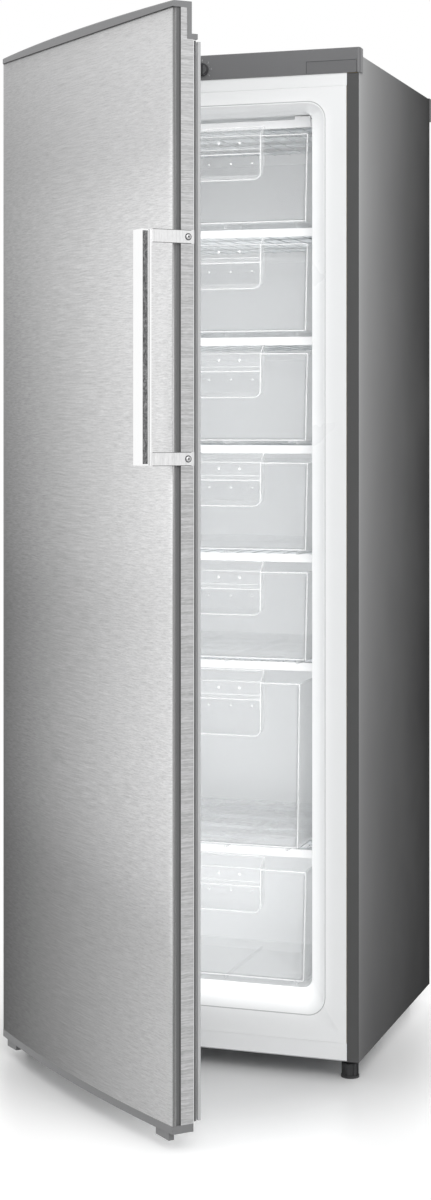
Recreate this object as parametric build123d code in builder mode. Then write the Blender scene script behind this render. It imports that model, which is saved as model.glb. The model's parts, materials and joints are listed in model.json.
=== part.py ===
from build123d import *
import os
from math import atan2, cos, degrees, pi, radians, sin

os.makedirs("parts", exist_ok=True)

# Upright freezer with its door ajar, in millimetres. +Z is up and the front faces -Y. The origin is the
# centre of the footprint on the floor, the open door included. "Depth" counts back from the cabinet's
# front plane. On the door, "across" counts from the hinge pin and "behind" counts back from it.

# --- whole object
WIDTH = 600.0
HALF = WIDTH / 2
FRONT_Y = -42.0
SHELL_BOTTOM = 32.0
SHELL_TOP = 1669.0
SHELL_DEPTH = 548.0
SHEET = 1.0
TOUCH = 0.02
RUNNING_GAP = 0.05

# --- front frame
RETURN_WIDTH = 20.0
RAIL = 1.5
UPPER_RAIL_BOTTOM = 1619.5
UPPER_RAIL_SEEN_TOP = 1640.0
UPPER_RAIL_TOP = 1664.0
LOWER_RAIL_BOTTOM = 35.7
LOWER_RAIL_TOP = 61.3

# --- cavity
LINER = 2.0
LINER_HALF = 279.0
CAVITY_HALF = 216.0
CAVITY_BACK = 478.0
CAVITY_CEILING = 1583.0
CAVITY_FLOOR = 141.0
CAVITY_CORNER = 16.0
MOUTH_DEPTH = 22.0
MOUTH_HALF = 241.0
MOUTH_BOTTOM = 105.0
MOUTH_TOP = 1594.0
MOUTH_CORNER = 28.0
STEP_DEPTH = 300.0
STEP_TOP = 335.0
TROUGH_HALF = 175.0
TROUGH_FRONT = 34.0
TROUGH_DROP = 11.0

# --- freezing shelves
TOP_SHELF = 1576.0
SHELF_PITCH = 181.0
LOW_SHELF = 360.0
SHELF_LEVELS = [TOP_SHELF - n * SHELF_PITCH for n in range(6)] + [LOW_SHELF]
SHELF_FRONT = 62.0
TRIM_HEIGHT = 13.5
TRIM_HALF = 215.4
TRIM_SHEET = 1.4
TRIM_LIP = 4.0
TUBE = 4.0
TUBE_PASSES = 5
TUBE_PITCH = 96.0
TUBE_STRAIGHT = 150.0
TUBE_START = 68.6
BEND_STEPS = 3
WIRE = 1.5
WIRE_HALF_SPAN = 206.0
TOP_WIRES = 8
BOTTOM_WIRES = 7
LEDGE_IN = 204.0
LEDGE_DROP = 11.2
LEDGE_HEIGHT = 5.0

# --- drawers
DRAWER_FRONT = 27.0
DRAWER_BACK = 455.0
DRAWER_WALL = 2.2
DRAWER_RISE = 8.0
DRAWER_TOP = 153.0
DRAWER_HALF = 206.0
DRAWER_DRAFT = 3.5
DRAWER_CORNER = 5.0
RIM = 3.0
SKID_CLEAR = 0.5
SKID_HALF = 1.6
GRIP_HALF = 126.0
GRIP_BAR = 30.0
GRIP_DROP = 73.0
GRIP_DEPTH = 26.0
GRIP_CORNER = 12.0
FLAP_RUN = 22.0
FLAP_RISE = 17.0

# --- control fascia
FASCIA_HALF = 303.0
FASCIA_BOTTOM = 1640.0
FASCIA_TOP = 1681.0
FASCIA_FRONT = -2.0
FASCIA_BACK = 16.0
FASCIA_WALL = 1.7
HINGE_WINDOW_IN = 212.0
HINGE_WINDOW_OUT = 297.0
HINGE_WINDOW_TOP = 1661.0
KNOB_X = 34.0
KNOB_Z = 1657.0
KNOB_RADIUS = 11.0
SKIRT = 6.5
KNOB_HEIGHT = 17.0
SHAFT_RADIUS = 3.0

# --- door
DOOR_OPEN = 42.9
HINGE_X = -278.0
HINGE_DEPTH = -32.0
DOOR_LEFT = -22.0
DOOR_RIGHT = 578.0
DOOR_MIDDLE = (DOOR_LEFT + DOOR_RIGHT) / 2
DOOR_FRONT = -24.0
DOOR_BOW = 15.0
DOOR_BOTTOM = 29.0
DOOR_BODY_BOTTOM = 41.0
DOOR_BODY_TOP = 1681.0
DOOR_TOP = 1690.0
SKIN = 1.0
SKIN_BACK = -18.0
GROOVE_BACK = -10.0
SIDE_BACK = 11.0
CAP_PROUD = 0.6
CAP_WALL = 2.5
CAP_SAG = 5.5
CAP_FRONT_BACK = 0.5
CAP_STEP = 8.0
CAP_LEG_BACK = 18.0
CAP_LEG_TOP = 1643.0
CAP_LEG_BOTTOM = 1635.0
CAP_HIDDEN = 1674.0
POCKET_FRONT = -19.0
POCKET_RIGHT = 16.0
HINGE_BLOCK_BOTTOM = 1612.0
LINER_FACE = 14.0
PAD_FACE = 34.0
GASKET_FACE = 31.4
GASKET_WIDTH = 20.0
GASKET_BOTTOM = 42.0
GASKET_TOP = 1633.0
LUG_BOTTOM = 17.0

# --- hinges
PIN_RADIUS = 3.5
BUSH_RADIUS = 7.0
BUSH_SIDES = 16
ARM_HALF = 9.0
HINGE_SHEET = 3.0
UPPER_ARM = 1645.0
LOWER_ARM = 24.0

# --- handle
BAR_WIDTH = 31.0
BAR_FRONT = -74.5
BAR_BACK = -59.0
BAR_BOTTOM = 1008.0
BAR_TOP = 1354.0
BRACKET_SHEET = 2.5
BRACKET_HEIGHT = 20.0
SCREW_BEHIND = 1.0

# --- underside and back
FOOT_X = 278.0
FOOT_DEPTH = 30.0
FOOT_RADIUS = 15.0
FOOT_HEIGHT = 23.0
STUD_RADIUS = 5.0
ROLLER_X = 260.0
ROLLER_DEPTH = 505.0
ROLLER_RADIUS = 14.0
AXLE_RADIUS = 3.0
BAY_DEPTH = 352.0
BAY_TOP = 265.0
BASE_Z = 32.0
BASE_SHEET = 2.0
PANEL_DEPTH = 546.5
COMPRESSOR_X = 40.0
COMPRESSOR_DEPTH = 446.0
COMPRESSOR_RADIUS = 75.0
POT_SIDES = 28
CONDENSER_DEPTH = 558.0
CONDENSER_TUBE = 2.5
CONDENSER_BOTTOM = 300.0
CONDENSER_PASSES = 9
CONDENSER_PITCH = 156.0
CONDENSER_TOP = CONDENSER_BOTTOM + (CONDENSER_PASSES - 1) * CONDENSER_PITCH
PIPE = 2.5


def level(height):
    """Level plane of the cabinet: x across, y depth."""
    return Plane(origin=(0, FRONT_Y, height))


def front(depth):
    """Upright plane parallel to the front, seen from the front: x across, y height."""
    return Plane(origin=(0, FRONT_Y + depth, 0), x_dir=(1, 0, 0), z_dir=(0, -1, 0))


def section(x):
    """Upright plane that runs front to back: x depth, y height."""
    return Plane(origin=(x, FRONT_Y, 0), x_dir=(0, 1, 0), z_dir=(1, 0, 0))


DOOR = Plane(
    origin=(HINGE_X, FRONT_Y + HINGE_DEPTH, 0),
    x_dir=(cos(radians(DOOR_OPEN)), -sin(radians(DOOR_OPEN)), 0),
    z_dir=(0, 0, 1),
)


def door_level(height):
    """Level plane of the door: x across, y behind the pin."""
    return DOOR.offset(height)


def door_front(behind):
    """Plane parallel to the door's face, seen from the front: x across, y height."""
    origin = DOOR.from_local_coords((0, behind, 0))
    return Plane(origin=origin, x_dir=DOOR.x_dir, z_dir=-DOOR.y_dir)


def door_section(across):
    """Upright plane across the door: x behind, y height."""
    origin = DOOR.from_local_coords((across, 0, 0))
    return Plane(origin=origin, x_dir=DOOR.y_dir, z_dir=DOOR.x_dir)


def rectangle(x0, x1, y0, y1, mode=Mode.ADD):
    """Rectangle between two x and two y values of the sketch's plane."""
    with Locations(((x0 + x1) / 2, (y0 + y1) / 2)):
        Rectangle(x1 - x0, y1 - y0, mode=mode)


def rounded(x0, x1, y0, y1, radius):
    """Rectangle with rounded corners between two x and two y values."""
    with Locations(((x0 + x1) / 2, (y0 + y1) / 2)):
        RectangleRounded(x1 - x0, y1 - y0, radius)


def slab(plane, x0, x1, y0, y1, amount, mode=Mode.ADD):
    """Block pulled from a rectangle along the plane's normal."""
    with BuildSketch(plane) as outline:
        rectangle(min(x0, x1), max(x0, x1), y0, y1)
    extrude(outline.sketch, amount=amount, mode=mode)


def rod(plane, x, y, radius, amount, mode=Mode.ADD):
    """Round bar or bore pulled along the plane's normal."""
    with BuildSketch(plane) as outline:
        with Locations((x, y)):
            Circle(radius)
    extrude(outline.sketch, amount=amount, mode=mode)


def facet_rod(plane, x, y, radius, sides, amount, mode=Mode.ADD):
    """Many-sided bar pulled along the plane's normal, for round pieces that nothing runs in."""
    with BuildSketch(plane) as outline:
        with Locations((x, y)):
            RegularPolygon(radius, sides)
    extrude(outline.sketch, amount=amount, mode=mode)


# ---------------------------------------------------------------- cabinet structure


def cavity_block(grow):
    """Room inside the liner, or the liner's outside when grown by its wall."""
    floor = CAVITY_FLOOR - grow
    ceiling = CAVITY_CEILING + grow
    half = CAVITY_HALF + grow
    mouth_half = MOUTH_HALF + grow
    trough_half = TROUGH_HALF + grow
    with BuildPart() as block:
        with BuildSketch(front(MOUTH_DEPTH)):
            rounded(-half, half, floor, ceiling, CAVITY_CORNER + grow)
        extrude(amount=-(STEP_DEPTH + grow - MOUTH_DEPTH))
        with BuildSketch(front(MOUTH_DEPTH)):
            rounded(-half, half, STEP_TOP - grow, ceiling, CAVITY_CORNER + grow)
        extrude(amount=-(CAVITY_BACK + grow - MOUTH_DEPTH))
        with BuildSketch(front(0)):
            rounded(-mouth_half, mouth_half, MOUTH_BOTTOM - grow, MOUTH_TOP + grow, MOUTH_CORNER)
        with BuildSketch(front(MOUTH_DEPTH)):
            rounded(-half, half, floor, ceiling, CAVITY_CORNER + grow)
        loft()
        with BuildSketch(level(floor - TROUGH_DROP)):
            rectangle(-trough_half, trough_half, TROUGH_FRONT - grow, STEP_DEPTH + grow)
        extrude(amount=TROUGH_DROP + 10)
    return block.part


def outer_shell():
    """Painted steel wrap: two sides and the top, with returns folded in at the front and rear."""
    with BuildPart() as outer_shell:
        with BuildSketch(front(0)):
            rectangle(-HALF, HALF, SHELL_BOTTOM, SHELL_TOP)
            rectangle(-HALF + SHEET, HALF - SHEET, SHELL_BOTTOM, SHELL_TOP - SHEET, Mode.SUBTRACT)
        extrude(amount=-SHELL_DEPTH)
        for side in (-1, 1):
            fold = side * (HALF - RETURN_WIDTH)
            slab(front(0), side * HALF, fold, SHELL_BOTTOM, UPPER_RAIL_SEEN_TOP - 1, -SHEET)
            slab(front(SHELL_DEPTH), side * HALF, fold, SHELL_BOTTOM, SHELL_TOP - SHEET, SHEET)
        slab(front(SHELL_DEPTH), -HALF, HALF, SHELL_TOP - RETURN_WIDTH, SHELL_TOP, SHEET)
    outer_shell.part.label = "outer_shell"
    export_step(outer_shell.part, "parts/outer_shell.step")


def cabinet_foam():
    """Insulation between the steel wrap and the liner, cut away for the compressor bay."""
    edge = HALF - SHEET
    room = cavity_block(LINER)
    with BuildPart() as cabinet_foam:
        slab(section(-edge), LINER, PANEL_DEPTH, BASE_Z + BASE_SHEET, SHELL_TOP - SHEET, 2 * edge)
        add(room, mode=Mode.SUBTRACT)
        slab(section(-edge), BAY_DEPTH, SHELL_DEPTH, BASE_Z, BAY_TOP, 2 * edge, Mode.SUBTRACT)
        slab(front(0), KNOB_X - 26, KNOB_X + 26, UPPER_RAIL_SEEN_TOP, SHELL_TOP, -36, Mode.SUBTRACT)
        slab(front(0), -edge, edge, UPPER_RAIL_TOP - RAIL, SHELL_TOP, -20, Mode.SUBTRACT)
        for x in (-FOOT_X, FOOT_X):
            facet_rod(level(BASE_Z), x, FOOT_DEPTH, STUD_RADIUS + 2, 8, 22, Mode.SUBTRACT)
    cabinet_foam.part.label = "cabinet_foam"
    export_step(cabinet_foam.part, "parts/cabinet_foam.step")


def inner_liner():
    """White moulded liner: front flange, rounded mouth, cavity and shelf ledges."""
    outside = cavity_block(LINER)
    inside = cavity_block(0)
    with BuildPart() as inner_liner:
        slab(front(0), -LINER_HALF, LINER_HALF, LOWER_RAIL_TOP + 0.2, UPPER_RAIL_BOTTOM - 0.2, -LINER)
        add(outside)
        add(inside, mode=Mode.SUBTRACT)
        for shelf in SHELF_LEVELS:
            for side in (-1, 1):
                wall = side * (CAVITY_HALF + 0.3)
                top = level(shelf - LEDGE_DROP)
                slab(top, side * LEDGE_IN, wall, SHELF_FRONT + 6, CAVITY_BACK - 17, -LEDGE_HEIGHT)
    inner_liner.part.label = "inner_liner"
    export_step(inner_liner.part, "parts/inner_liner.step")


def upper_front_rail():
    """Steel cross rail over the mouth; its hidden upper half carries the hinge and the thermostat."""
    edge = HALF - RETURN_WIDTH - 0.2
    with BuildPart() as upper_front_rail:
        with BuildSketch(section(-edge)):
            rectangle(0, RAIL, UPPER_RAIL_BOTTOM, UPPER_RAIL_TOP)
            rectangle(0, 19, UPPER_RAIL_TOP - RAIL, UPPER_RAIL_TOP)
        extrude(amount=2 * edge)
        slab(front(-1), KNOB_X - 22, KNOB_X + 22, 1642, 1680, -30, Mode.SUBTRACT)
    upper_front_rail.part.label = "upper_front_rail"
    export_step(upper_front_rail.part, "parts/upper_front_rail.step")


def lower_front_rail():
    """Steel cross rail under the mouth, folded back along its lower edge."""
    edge = HALF - RETURN_WIDTH - 0.2
    with BuildPart() as lower_front_rail:
        with BuildSketch(section(-edge)):
            rectangle(0, RAIL, BASE_Z + BASE_SHEET, LOWER_RAIL_TOP)
            rectangle(0, 1.9, BASE_Z + BASE_SHEET, LOWER_RAIL_BOTTOM)
        extrude(amount=2 * edge)
    lower_front_rail.part.label = "lower_front_rail"
    export_step(lower_front_rail.part, "parts/lower_front_rail.step")


def rear_panel():
    """Flat steel sheet that closes the back above the compressor bay."""
    edge = HALF - SHEET
    with BuildPart() as rear_panel:
        slab(front(PANEL_DEPTH), -edge, edge, BAY_TOP, SHELL_TOP - SHEET, -0.5)
    rear_panel.part.label = "rear_panel"
    export_step(rear_panel.part, "parts/rear_panel.step")


def base_plate():
    """Floor sheet of the cabinet in front of the compressor bay, with the two foot holes."""
    edge = HALF - SHEET
    with BuildPart() as base_plate:
        slab(level(BASE_Z), -edge, edge, LINER, BAY_DEPTH, BASE_SHEET)
        for x in (-FOOT_X, FOOT_X):
            rod(level(BASE_Z), x, FOOT_DEPTH, STUD_RADIUS + RUNNING_GAP, BASE_SHEET, Mode.SUBTRACT)
    base_plate.part.label = "base_plate"
    export_step(base_plate.part, "parts/base_plate.step")


def compressor_tray():
    """Carrier sheet under the compressor bay, folded up along its rear edge."""
    edge = HALF - SHEET
    with BuildPart() as compressor_tray:
        slab(level(BASE_Z), -edge, edge, BAY_DEPTH, PANEL_DEPTH, BASE_SHEET)
        slab(level(BASE_Z), -edge, edge, PANEL_DEPTH - 1.5, PANEL_DEPTH, 16)
    compressor_tray.part.label = "compressor_tray"
    export_step(compressor_tray.part, "parts/compressor_tray.step")


def bay_lining():
    """Sheet over the compressor bay: front wall and ceiling, open behind."""
    edge = HALF - SHEET
    with BuildPart() as bay_lining:
        with BuildSketch(section(-edge)):
            rectangle(BAY_DEPTH, BAY_DEPTH + SHEET, BASE_Z + BASE_SHEET, BAY_TOP)
            rectangle(BAY_DEPTH, PANEL_DEPTH, BAY_TOP - SHEET, BAY_TOP)
        extrude(amount=2 * edge)
    bay_lining.part.label = "bay_lining"
    export_step(bay_lining.part, "parts/bay_lining.step")


# ---------------------------------------------------------------- control fascia


def control_fascia():
    """Plastic front of the top edge: hollow, with hinge windows and a shaft hole."""
    inside = HALF + 0.2
    thin = FASCIA_FRONT + FASCIA_WALL
    height = FASCIA_TOP - FASCIA_BOTTOM
    with BuildPart() as control_fascia:
        slab(level(FASCIA_BOTTOM), -FASCIA_HALF, FASCIA_HALF, FASCIA_FRONT, FASCIA_BACK, height)
        corners = control_fascia.edges().filter_by(Axis.Z).group_by(Axis.Y)[0]
        fillet(corners, 5)
        upper_rim = control_fascia.faces().sort_by(Axis.Z)[-1].edges().filter_by(Axis.X)
        chamfer(upper_rim.sort_by(Axis.Y)[0], 1.5)
        room = SHELL_TOP + 0.2 - FASCIA_BOTTOM
        slab(level(FASCIA_BOTTOM), -inside, inside, thin, 99, room, Mode.SUBTRACT)
        slab(level(SHELL_TOP), -inside + 2, inside - 2, thin + 1, FASCIA_BACK - 2, 9.6, Mode.SUBTRACT)
        for side in (-1, 1):
            inner = side * HINGE_WINDOW_IN
            outer = side * HINGE_WINDOW_OUT
            slab(front(-9), inner, outer, FASCIA_BOTTOM - 1, HINGE_WINDOW_TOP, -20, Mode.SUBTRACT)
        rod(front(-9), KNOB_X, KNOB_Z, SHAFT_RADIUS + 1, -20, Mode.SUBTRACT)
    control_fascia.part.label = "control_fascia"
    export_step(control_fascia.part, "parts/control_fascia.step")


def fascia_hinge_cover():
    """Blanking cover in the right hinge window."""
    gap = 0.35
    left = HINGE_WINDOW_IN + gap
    right = HINGE_WINDOW_OUT - gap
    with BuildPart() as fascia_hinge_cover:
        slab(front(-0.1), left, right, FASCIA_BOTTOM, HINGE_WINDOW_TOP - gap, 1.5)
        fillet(fascia_hinge_cover.edges().filter_by(Axis.Y).group_by(Axis.X)[-1], 3)
    fascia_hinge_cover.part.label = "fascia_hinge_cover"
    export_step(fascia_hinge_cover.part, "parts/fascia_hinge_cover.step")


def thermostat():
    """Thermostat body behind the fascia, with the shaft that carries the knob."""
    with BuildPart() as thermostat:
        slab(front(2), KNOB_X - 20, KNOB_X + 20, KNOB_Z - 13, KNOB_Z + 10, -30)
        rod(front(2), KNOB_X, KNOB_Z, SHAFT_RADIUS, 10)
    thermostat.part.label = "thermostat"
    export_step(thermostat.part, "parts/thermostat.step")


def thermostat_knob():
    """Dial with a skirt, a raised finger bar and a blind bore for the shaft."""
    back = FASCIA_FRONT - 0.4
    with BuildPart() as thermostat_knob:
        facet_rod(front(back), KNOB_X, KNOB_Z, KNOB_RADIUS, 24, SKIRT)
        chamfer(thermostat_knob.faces().sort_by(Axis.Y)[0].edges(), 1)
        with BuildSketch(front(back - SKIRT)):
            with Locations((KNOB_X, KNOB_Z)):
                Rectangle(5.5, 2 * KNOB_RADIUS - 3.5)
        extrude(amount=KNOB_HEIGHT - SKIRT)
        rod(front(back), KNOB_X, KNOB_Z, SHAFT_RADIUS + RUNNING_GAP, SKIRT - 0.3, Mode.SUBTRACT)
    thermostat_knob.part.label = "thermostat_knob"
    export_step(thermostat_knob.part, "parts/thermostat_knob.step")


# ---------------------------------------------------------------- freezing shelves


def serpentine(plane, passes, pitch, straight, start, size):
    """Tube bent to and fro on a plane, of six-sided section with its flats along the normal."""
    bend = pitch / 2
    places = []
    for n in range(passes):
        side = 1 if n % 2 == 0 else -1
        middle = start + (n + 0.5) * pitch
        places.append((-side * straight, middle - bend))
        places.append((side * straight, middle - bend))
        if n < passes - 1:
            for step in range(1, BEND_STEPS):
                turn = radians(180 * step / BEND_STEPS)
                places.append((side * (straight + bend * sin(turn)), middle - bend * cos(turn)))
    with BuildPart() as tube:
        with BuildLine(plane) as route:
            Polyline(*places)
        origin = plane.from_local_coords((-straight, start, 0))
        with BuildSketch(Plane(origin=origin, x_dir=plane.y_dir, z_dir=plane.x_dir)):
            RegularPolygon(size, 6, major_radius=False)
        sweep(path=route.wires()[0], transition=Transition.RIGHT)
    return tube.part


def wire_row(plane, count, half_span, start, end):
    """Row of parallel square wires standing on a plane and running along its y axis."""
    with BuildSketch(plane) as row:
        with Locations((0, (start + end) / 2)):
            with GridLocations(2 * half_span / (count - 1), 1, count, 1):
                Rectangle(WIRE, end - start)
    extrude(row.sketch, amount=WIRE)


def shelf_grid():
    """One freezing shelf at height 0: the tube, and the wires laid over and under it."""
    middle = -WIRE - TOUCH - TUBE
    begin = SHELF_FRONT + TRIM_LIP + 0.3
    end = TUBE_START + (TUBE_PASSES - 1) * TUBE_PITCH + 5
    tube = serpentine(level(middle), TUBE_PASSES, TUBE_PITCH, TUBE_STRAIGHT, TUBE_START, TUBE)
    with BuildPart() as grid:
        add(tube)
        wire_row(level(-WIRE), TOP_WIRES, WIRE_HALF_SPAN, begin, end)
        wire_row(level(middle - TUBE - TOUCH - WIRE), BOTTOM_WIRES, WIRE_HALF_SPAN, begin, end)
    return grid.part


def evaporator_shelves():
    """The seven freezing shelves; the drawers stand on the six lower ones and on the floor."""
    grid = shelf_grid()
    for number, height in enumerate(SHELF_LEVELS, start=1):
        with BuildPart() as evaporator_shelf:
            add(grid.moved(Location((0, 0, height))))
        evaporator_shelf.part.label = f"evaporator_shelf_{number}"
        export_step(evaporator_shelf.part, f"parts/evaporator_shelf_{number}.step")


def evaporator_riser():
    """Tube at the back of the cavity that joins the freezing shelves."""
    middle = WIRE + TOUCH + TUBE
    x = TUBE_STRAIGHT - TUBE - 1
    back = CAVITY_BACK - 6
    link = TUBE_START + (TUBE_PASSES - 1) * TUBE_PITCH + 5.2
    with BuildPart() as evaporator_riser:
        with BuildSketch(level(LOW_SHELF - 12)):
            with Locations((x, back)):
                RegularPolygon(TUBE, 6)
        extrude(amount=TOP_SHELF - LOW_SHELF + 10)
        with BuildSketch(front(link)):
            with Locations([(x, height - middle) for height in SHELF_LEVELS]):
                RegularPolygon(TUBE - 0.6, 6, major_radius=False)
        extrude(amount=link - back)
    evaporator_riser.part.label = "evaporator_riser"
    export_step(evaporator_riser.part, "parts/evaporator_riser.step")


def shelf_trims():
    """White channel over the front edge of each shelf, and the end block of the top one."""
    inner = SHELF_FRONT + TRIM_SHEET
    with BuildPart() as shelf_trims:
        for height in SHELF_LEVELS:
            low = height - TRIM_HEIGHT
            half = TRIM_HALF - 4 if height == TOP_SHELF else TRIM_HALF
            with BuildSketch(section(-half)):
                rectangle(SHELF_FRONT, SHELF_FRONT + TRIM_LIP, low, height)
                rectangle(inner, inner + 9, low + TRIM_SHEET, height - TRIM_SHEET, Mode.SUBTRACT)
            extrude(amount=2 * half)
        slab(front(SHELF_FRONT), 176, 203, TOP_SHELF - 13, TOP_SHELF + 5, 2.5)
        slab(front(SHELF_FRONT), 176, 203, TOP_SHELF + 1, TOP_SHELF + 5, -12)
    shelf_trims.part.label = "shelf_trims"
    export_step(shelf_trims.part, "parts/shelf_trims.step")


# ---------------------------------------------------------------- drawers


def tapered_box(base, top, half, draft, near, far, corner):
    """Box with an upright front that narrows downwards on its other sides, its corners cut off."""
    lean = degrees(atan2(draft, top - base))
    middle = (base + top) / 2
    with BuildPart() as tapered:
        with BuildSketch(level(base)):
            rectangle(-half, half, near - 9, far)
        extrude(amount=top - base, taper=lean)
        slab(level(base - 1), -half - 1, half + 1, near - 99, near, top - base + 2, Mode.SUBTRACT)
        rims = tapered.faces().sort_by(Axis.Z)
        flat = rims[0].edges() + rims[-1].edges()
        chamfer([edge for edge in tapered.edges() if edge not in flat], corner)
    with BuildPart() as box:
        mirror(tapered.part, about=level(middle))
    return box.part


def grip_hood(top, drop):
    """Outside of the finger pocket: curved bottom, back wall and the sloping flap over the bar."""
    bottom = top - drop
    back = DRAWER_FRONT + GRIP_DEPTH
    flap_top = top + FLAP_RISE
    with BuildPart() as hood:
        with BuildSketch(section(-GRIP_HALF)):
            with BuildLine():
                Polyline(
                    (DRAWER_FRONT, bottom),
                    (DRAWER_FRONT, top),
                    (DRAWER_FRONT + FLAP_RUN, flap_top),
                    (back, flap_top),
                    (back, bottom + 24),
                    (back - 7, bottom + 8),
                    close=True,
                )
            make_face()
        extrude(amount=2 * GRIP_HALF)
        with BuildSketch(front(DRAWER_FRONT - 2)):
            rounded(-GRIP_HALF, GRIP_HALF, bottom, bottom + 130, GRIP_CORNER)
        extrude(amount=-GRIP_DEPTH - 4, mode=Mode.INTERSECT)
    return hood.part


def grip_hollow(top, drop):
    """Inside of the finger pocket, open to the front below the grip bar."""
    wall = DRAWER_WALL
    bottom = top - drop + wall
    back = DRAWER_FRONT + GRIP_DEPTH - wall
    flap_top = top + FLAP_RISE - 1.4 * wall
    bar_back = DRAWER_FRONT + wall
    half = GRIP_HALF - wall
    with BuildPart() as hollow:
        with BuildSketch(section(-half)):
            with BuildLine():
                Polyline(
                    (DRAWER_FRONT - 1, bottom),
                    (DRAWER_FRONT - 1, top - GRIP_BAR),
                    (bar_back, top - GRIP_BAR),
                    (bar_back, top - 1),
                    (DRAWER_FRONT + FLAP_RUN, flap_top),
                    (back, flap_top),
                    (back, bottom + 24),
                    (back - 7, bottom + 8),
                    close=True,
                )
            make_face()
        extrude(amount=2 * half)
        with BuildSketch(front(DRAWER_FRONT - 2)):
            rounded(-half, half, bottom, bottom + 130, GRIP_CORNER - wall)
        extrude(amount=-GRIP_DEPTH - 4, mode=Mode.INTERSECT)
    return hollow.part


def drawer(number, base, top, half, far, drop, skid_x):
    """Clear moulded drawer: tapered box with a rim, four runner ribs and a finger pocket."""
    floor = base + DRAWER_RISE
    wall = DRAWER_WALL
    draft = DRAWER_DRAFT
    near = DRAWER_FRONT + wall
    outside = tapered_box(floor, top, half, draft, DRAWER_FRONT, far, DRAWER_CORNER)
    inside = tapered_box(floor + wall, top + 1, half - wall, draft, near, far - wall, DRAWER_CORNER - wall)
    hood = grip_hood(top, drop)
    hollow = grip_hollow(top, drop)
    with BuildPart() as drawer:
        add(outside)
        slab(level(top - 2), -half - RIM, half + RIM, DRAWER_FRONT + 10, far + RIM, 2)
        for x in (-skid_x, -62, 62, skid_x):
            slab(level(base + SKID_CLEAR), x - SKID_HALF, x + SKID_HALF, DRAWER_FRONT + 8, far - 30, 8)
        add(inside, mode=Mode.SUBTRACT)
        add(hood)
        add(hollow, mode=Mode.SUBTRACT)
    drawer.part.label = f"drawer_{number}"
    export_step(drawer.part, f"parts/drawer_{number}.step")


def drawers():
    """Five shallow drawers, the tall one and the short bottom one."""
    for number in range(1, 6):
        shelf = SHELF_LEVELS[number]
        drawer(number, shelf, shelf + DRAWER_TOP, DRAWER_HALF, DRAWER_BACK, GRIP_DROP, 186)
    drawer(6, LOW_SHELF, 640, 192.5, DRAWER_BACK, GRIP_DROP + 17, 168)
    drawer(7, CAVITY_FLOOR, 330, 203, STEP_DEPTH - 12, GRIP_DROP, 186)


# ---------------------------------------------------------------- door


def door_outline(inset, back, mode=Mode.ADD):
    """Level outline of the door: bowed front, straight edges and a straight back."""
    left = DOOR_LEFT + inset
    right = DOOR_RIGHT - inset
    near = DOOR_FRONT + inset
    with BuildLine() as outline:
        ThreePointArc((left, near), (DOOR_MIDDLE, near - DOOR_BOW), (right, near))
        Polyline((right, near), (right, back), (left, back), (left, near))
    make_face(outline.edges(), mode=mode)


def arched_cut(seam, limit):
    """Takes away what lies between the cap's arched seam and a level limit, in front of the cap's leg."""
    left = DOOR_LEFT - 1
    right = DOOR_RIGHT + 1
    with BuildSketch(door_front(-60)) as region:
        with BuildLine() as outline:
            ThreePointArc((left, seam), (DOOR_MIDDLE, seam - CAP_SAG), (right, seam))
            Polyline((right, seam), (right, limit), (left, limit), (left, seam))
        make_face(outline.edges())
    extrude(region.sketch, amount=-60 - CAP_FRONT_BACK, mode=Mode.SUBTRACT)


def door_skin():
    """Bowed front sheet with its edges folded back, cut along the top to the cap's arch."""
    height = DOOR_BODY_TOP - DOOR_BODY_BOTTOM
    with BuildPart() as door_skin:
        with BuildSketch(door_level(DOOR_BODY_BOTTOM)):
            door_outline(0, SKIN_BACK)
            door_outline(SKIN, SKIN_BACK + 1, Mode.SUBTRACT)
        extrude(amount=height)
        arched_cut(DOOR_BODY_TOP, DOOR_TOP)
    door_skin.part.label = "door_skin"
    export_step(door_skin.part, "parts/door_skin.step")


def door_edge_trims():
    """Dark grooved strip along both upright edges of the door."""
    groove_front = SKIN_BACK + 0.6
    groove_back = GROOVE_BACK - 0.6
    with BuildPart() as door_edge_trims:
        with BuildSketch(door_level(DOOR_BODY_BOTTOM)):
            rectangle(DOOR_RIGHT - 4.5, DOOR_RIGHT, SKIN_BACK, GROOVE_BACK)
            rectangle(DOOR_RIGHT - 2.5, DOOR_RIGHT + 1, groove_front, groove_back, Mode.SUBTRACT)
        extrude(amount=DOOR_BODY_TOP - 0.1 - DOOR_BODY_BOTTOM)
        with BuildSketch(door_level(DOOR_BODY_BOTTOM)):
            rectangle(DOOR_LEFT, DOOR_LEFT + 4.5, SKIN_BACK, GROOVE_BACK)
            rectangle(DOOR_LEFT - 1, DOOR_LEFT + 2.5, groove_front, groove_back, Mode.SUBTRACT)
        extrude(amount=CAP_LEG_BOTTOM - DOOR_BODY_BOTTOM)
    door_edge_trims.part.label = "door_edge_trims"
    export_step(door_edge_trims.part, "parts/door_edge_trims.step")


def door_side_sheets():
    """Brushed sheets on both upright edges behind the groove; the free one reaches up to the cap."""
    low = DOOR_BODY_BOTTOM
    with BuildPart() as door_side_sheets:
        slab(door_section(DOOR_LEFT), GROOVE_BACK, SIDE_BACK, low, CAP_LEG_BOTTOM, SKIN)
        slab(door_section(DOOR_RIGHT), GROOVE_BACK, SIDE_BACK, low, CAP_LEG_BOTTOM, -SKIN)
        slab(door_section(DOOR_RIGHT), GROOVE_BACK, CAP_FRONT_BACK, low, DOOR_BODY_TOP - 0.1, -SKIN)
    door_side_sheets.part.label = "door_side_sheets"
    export_step(door_side_sheets.part, "parts/door_side_sheets.step")


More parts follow.
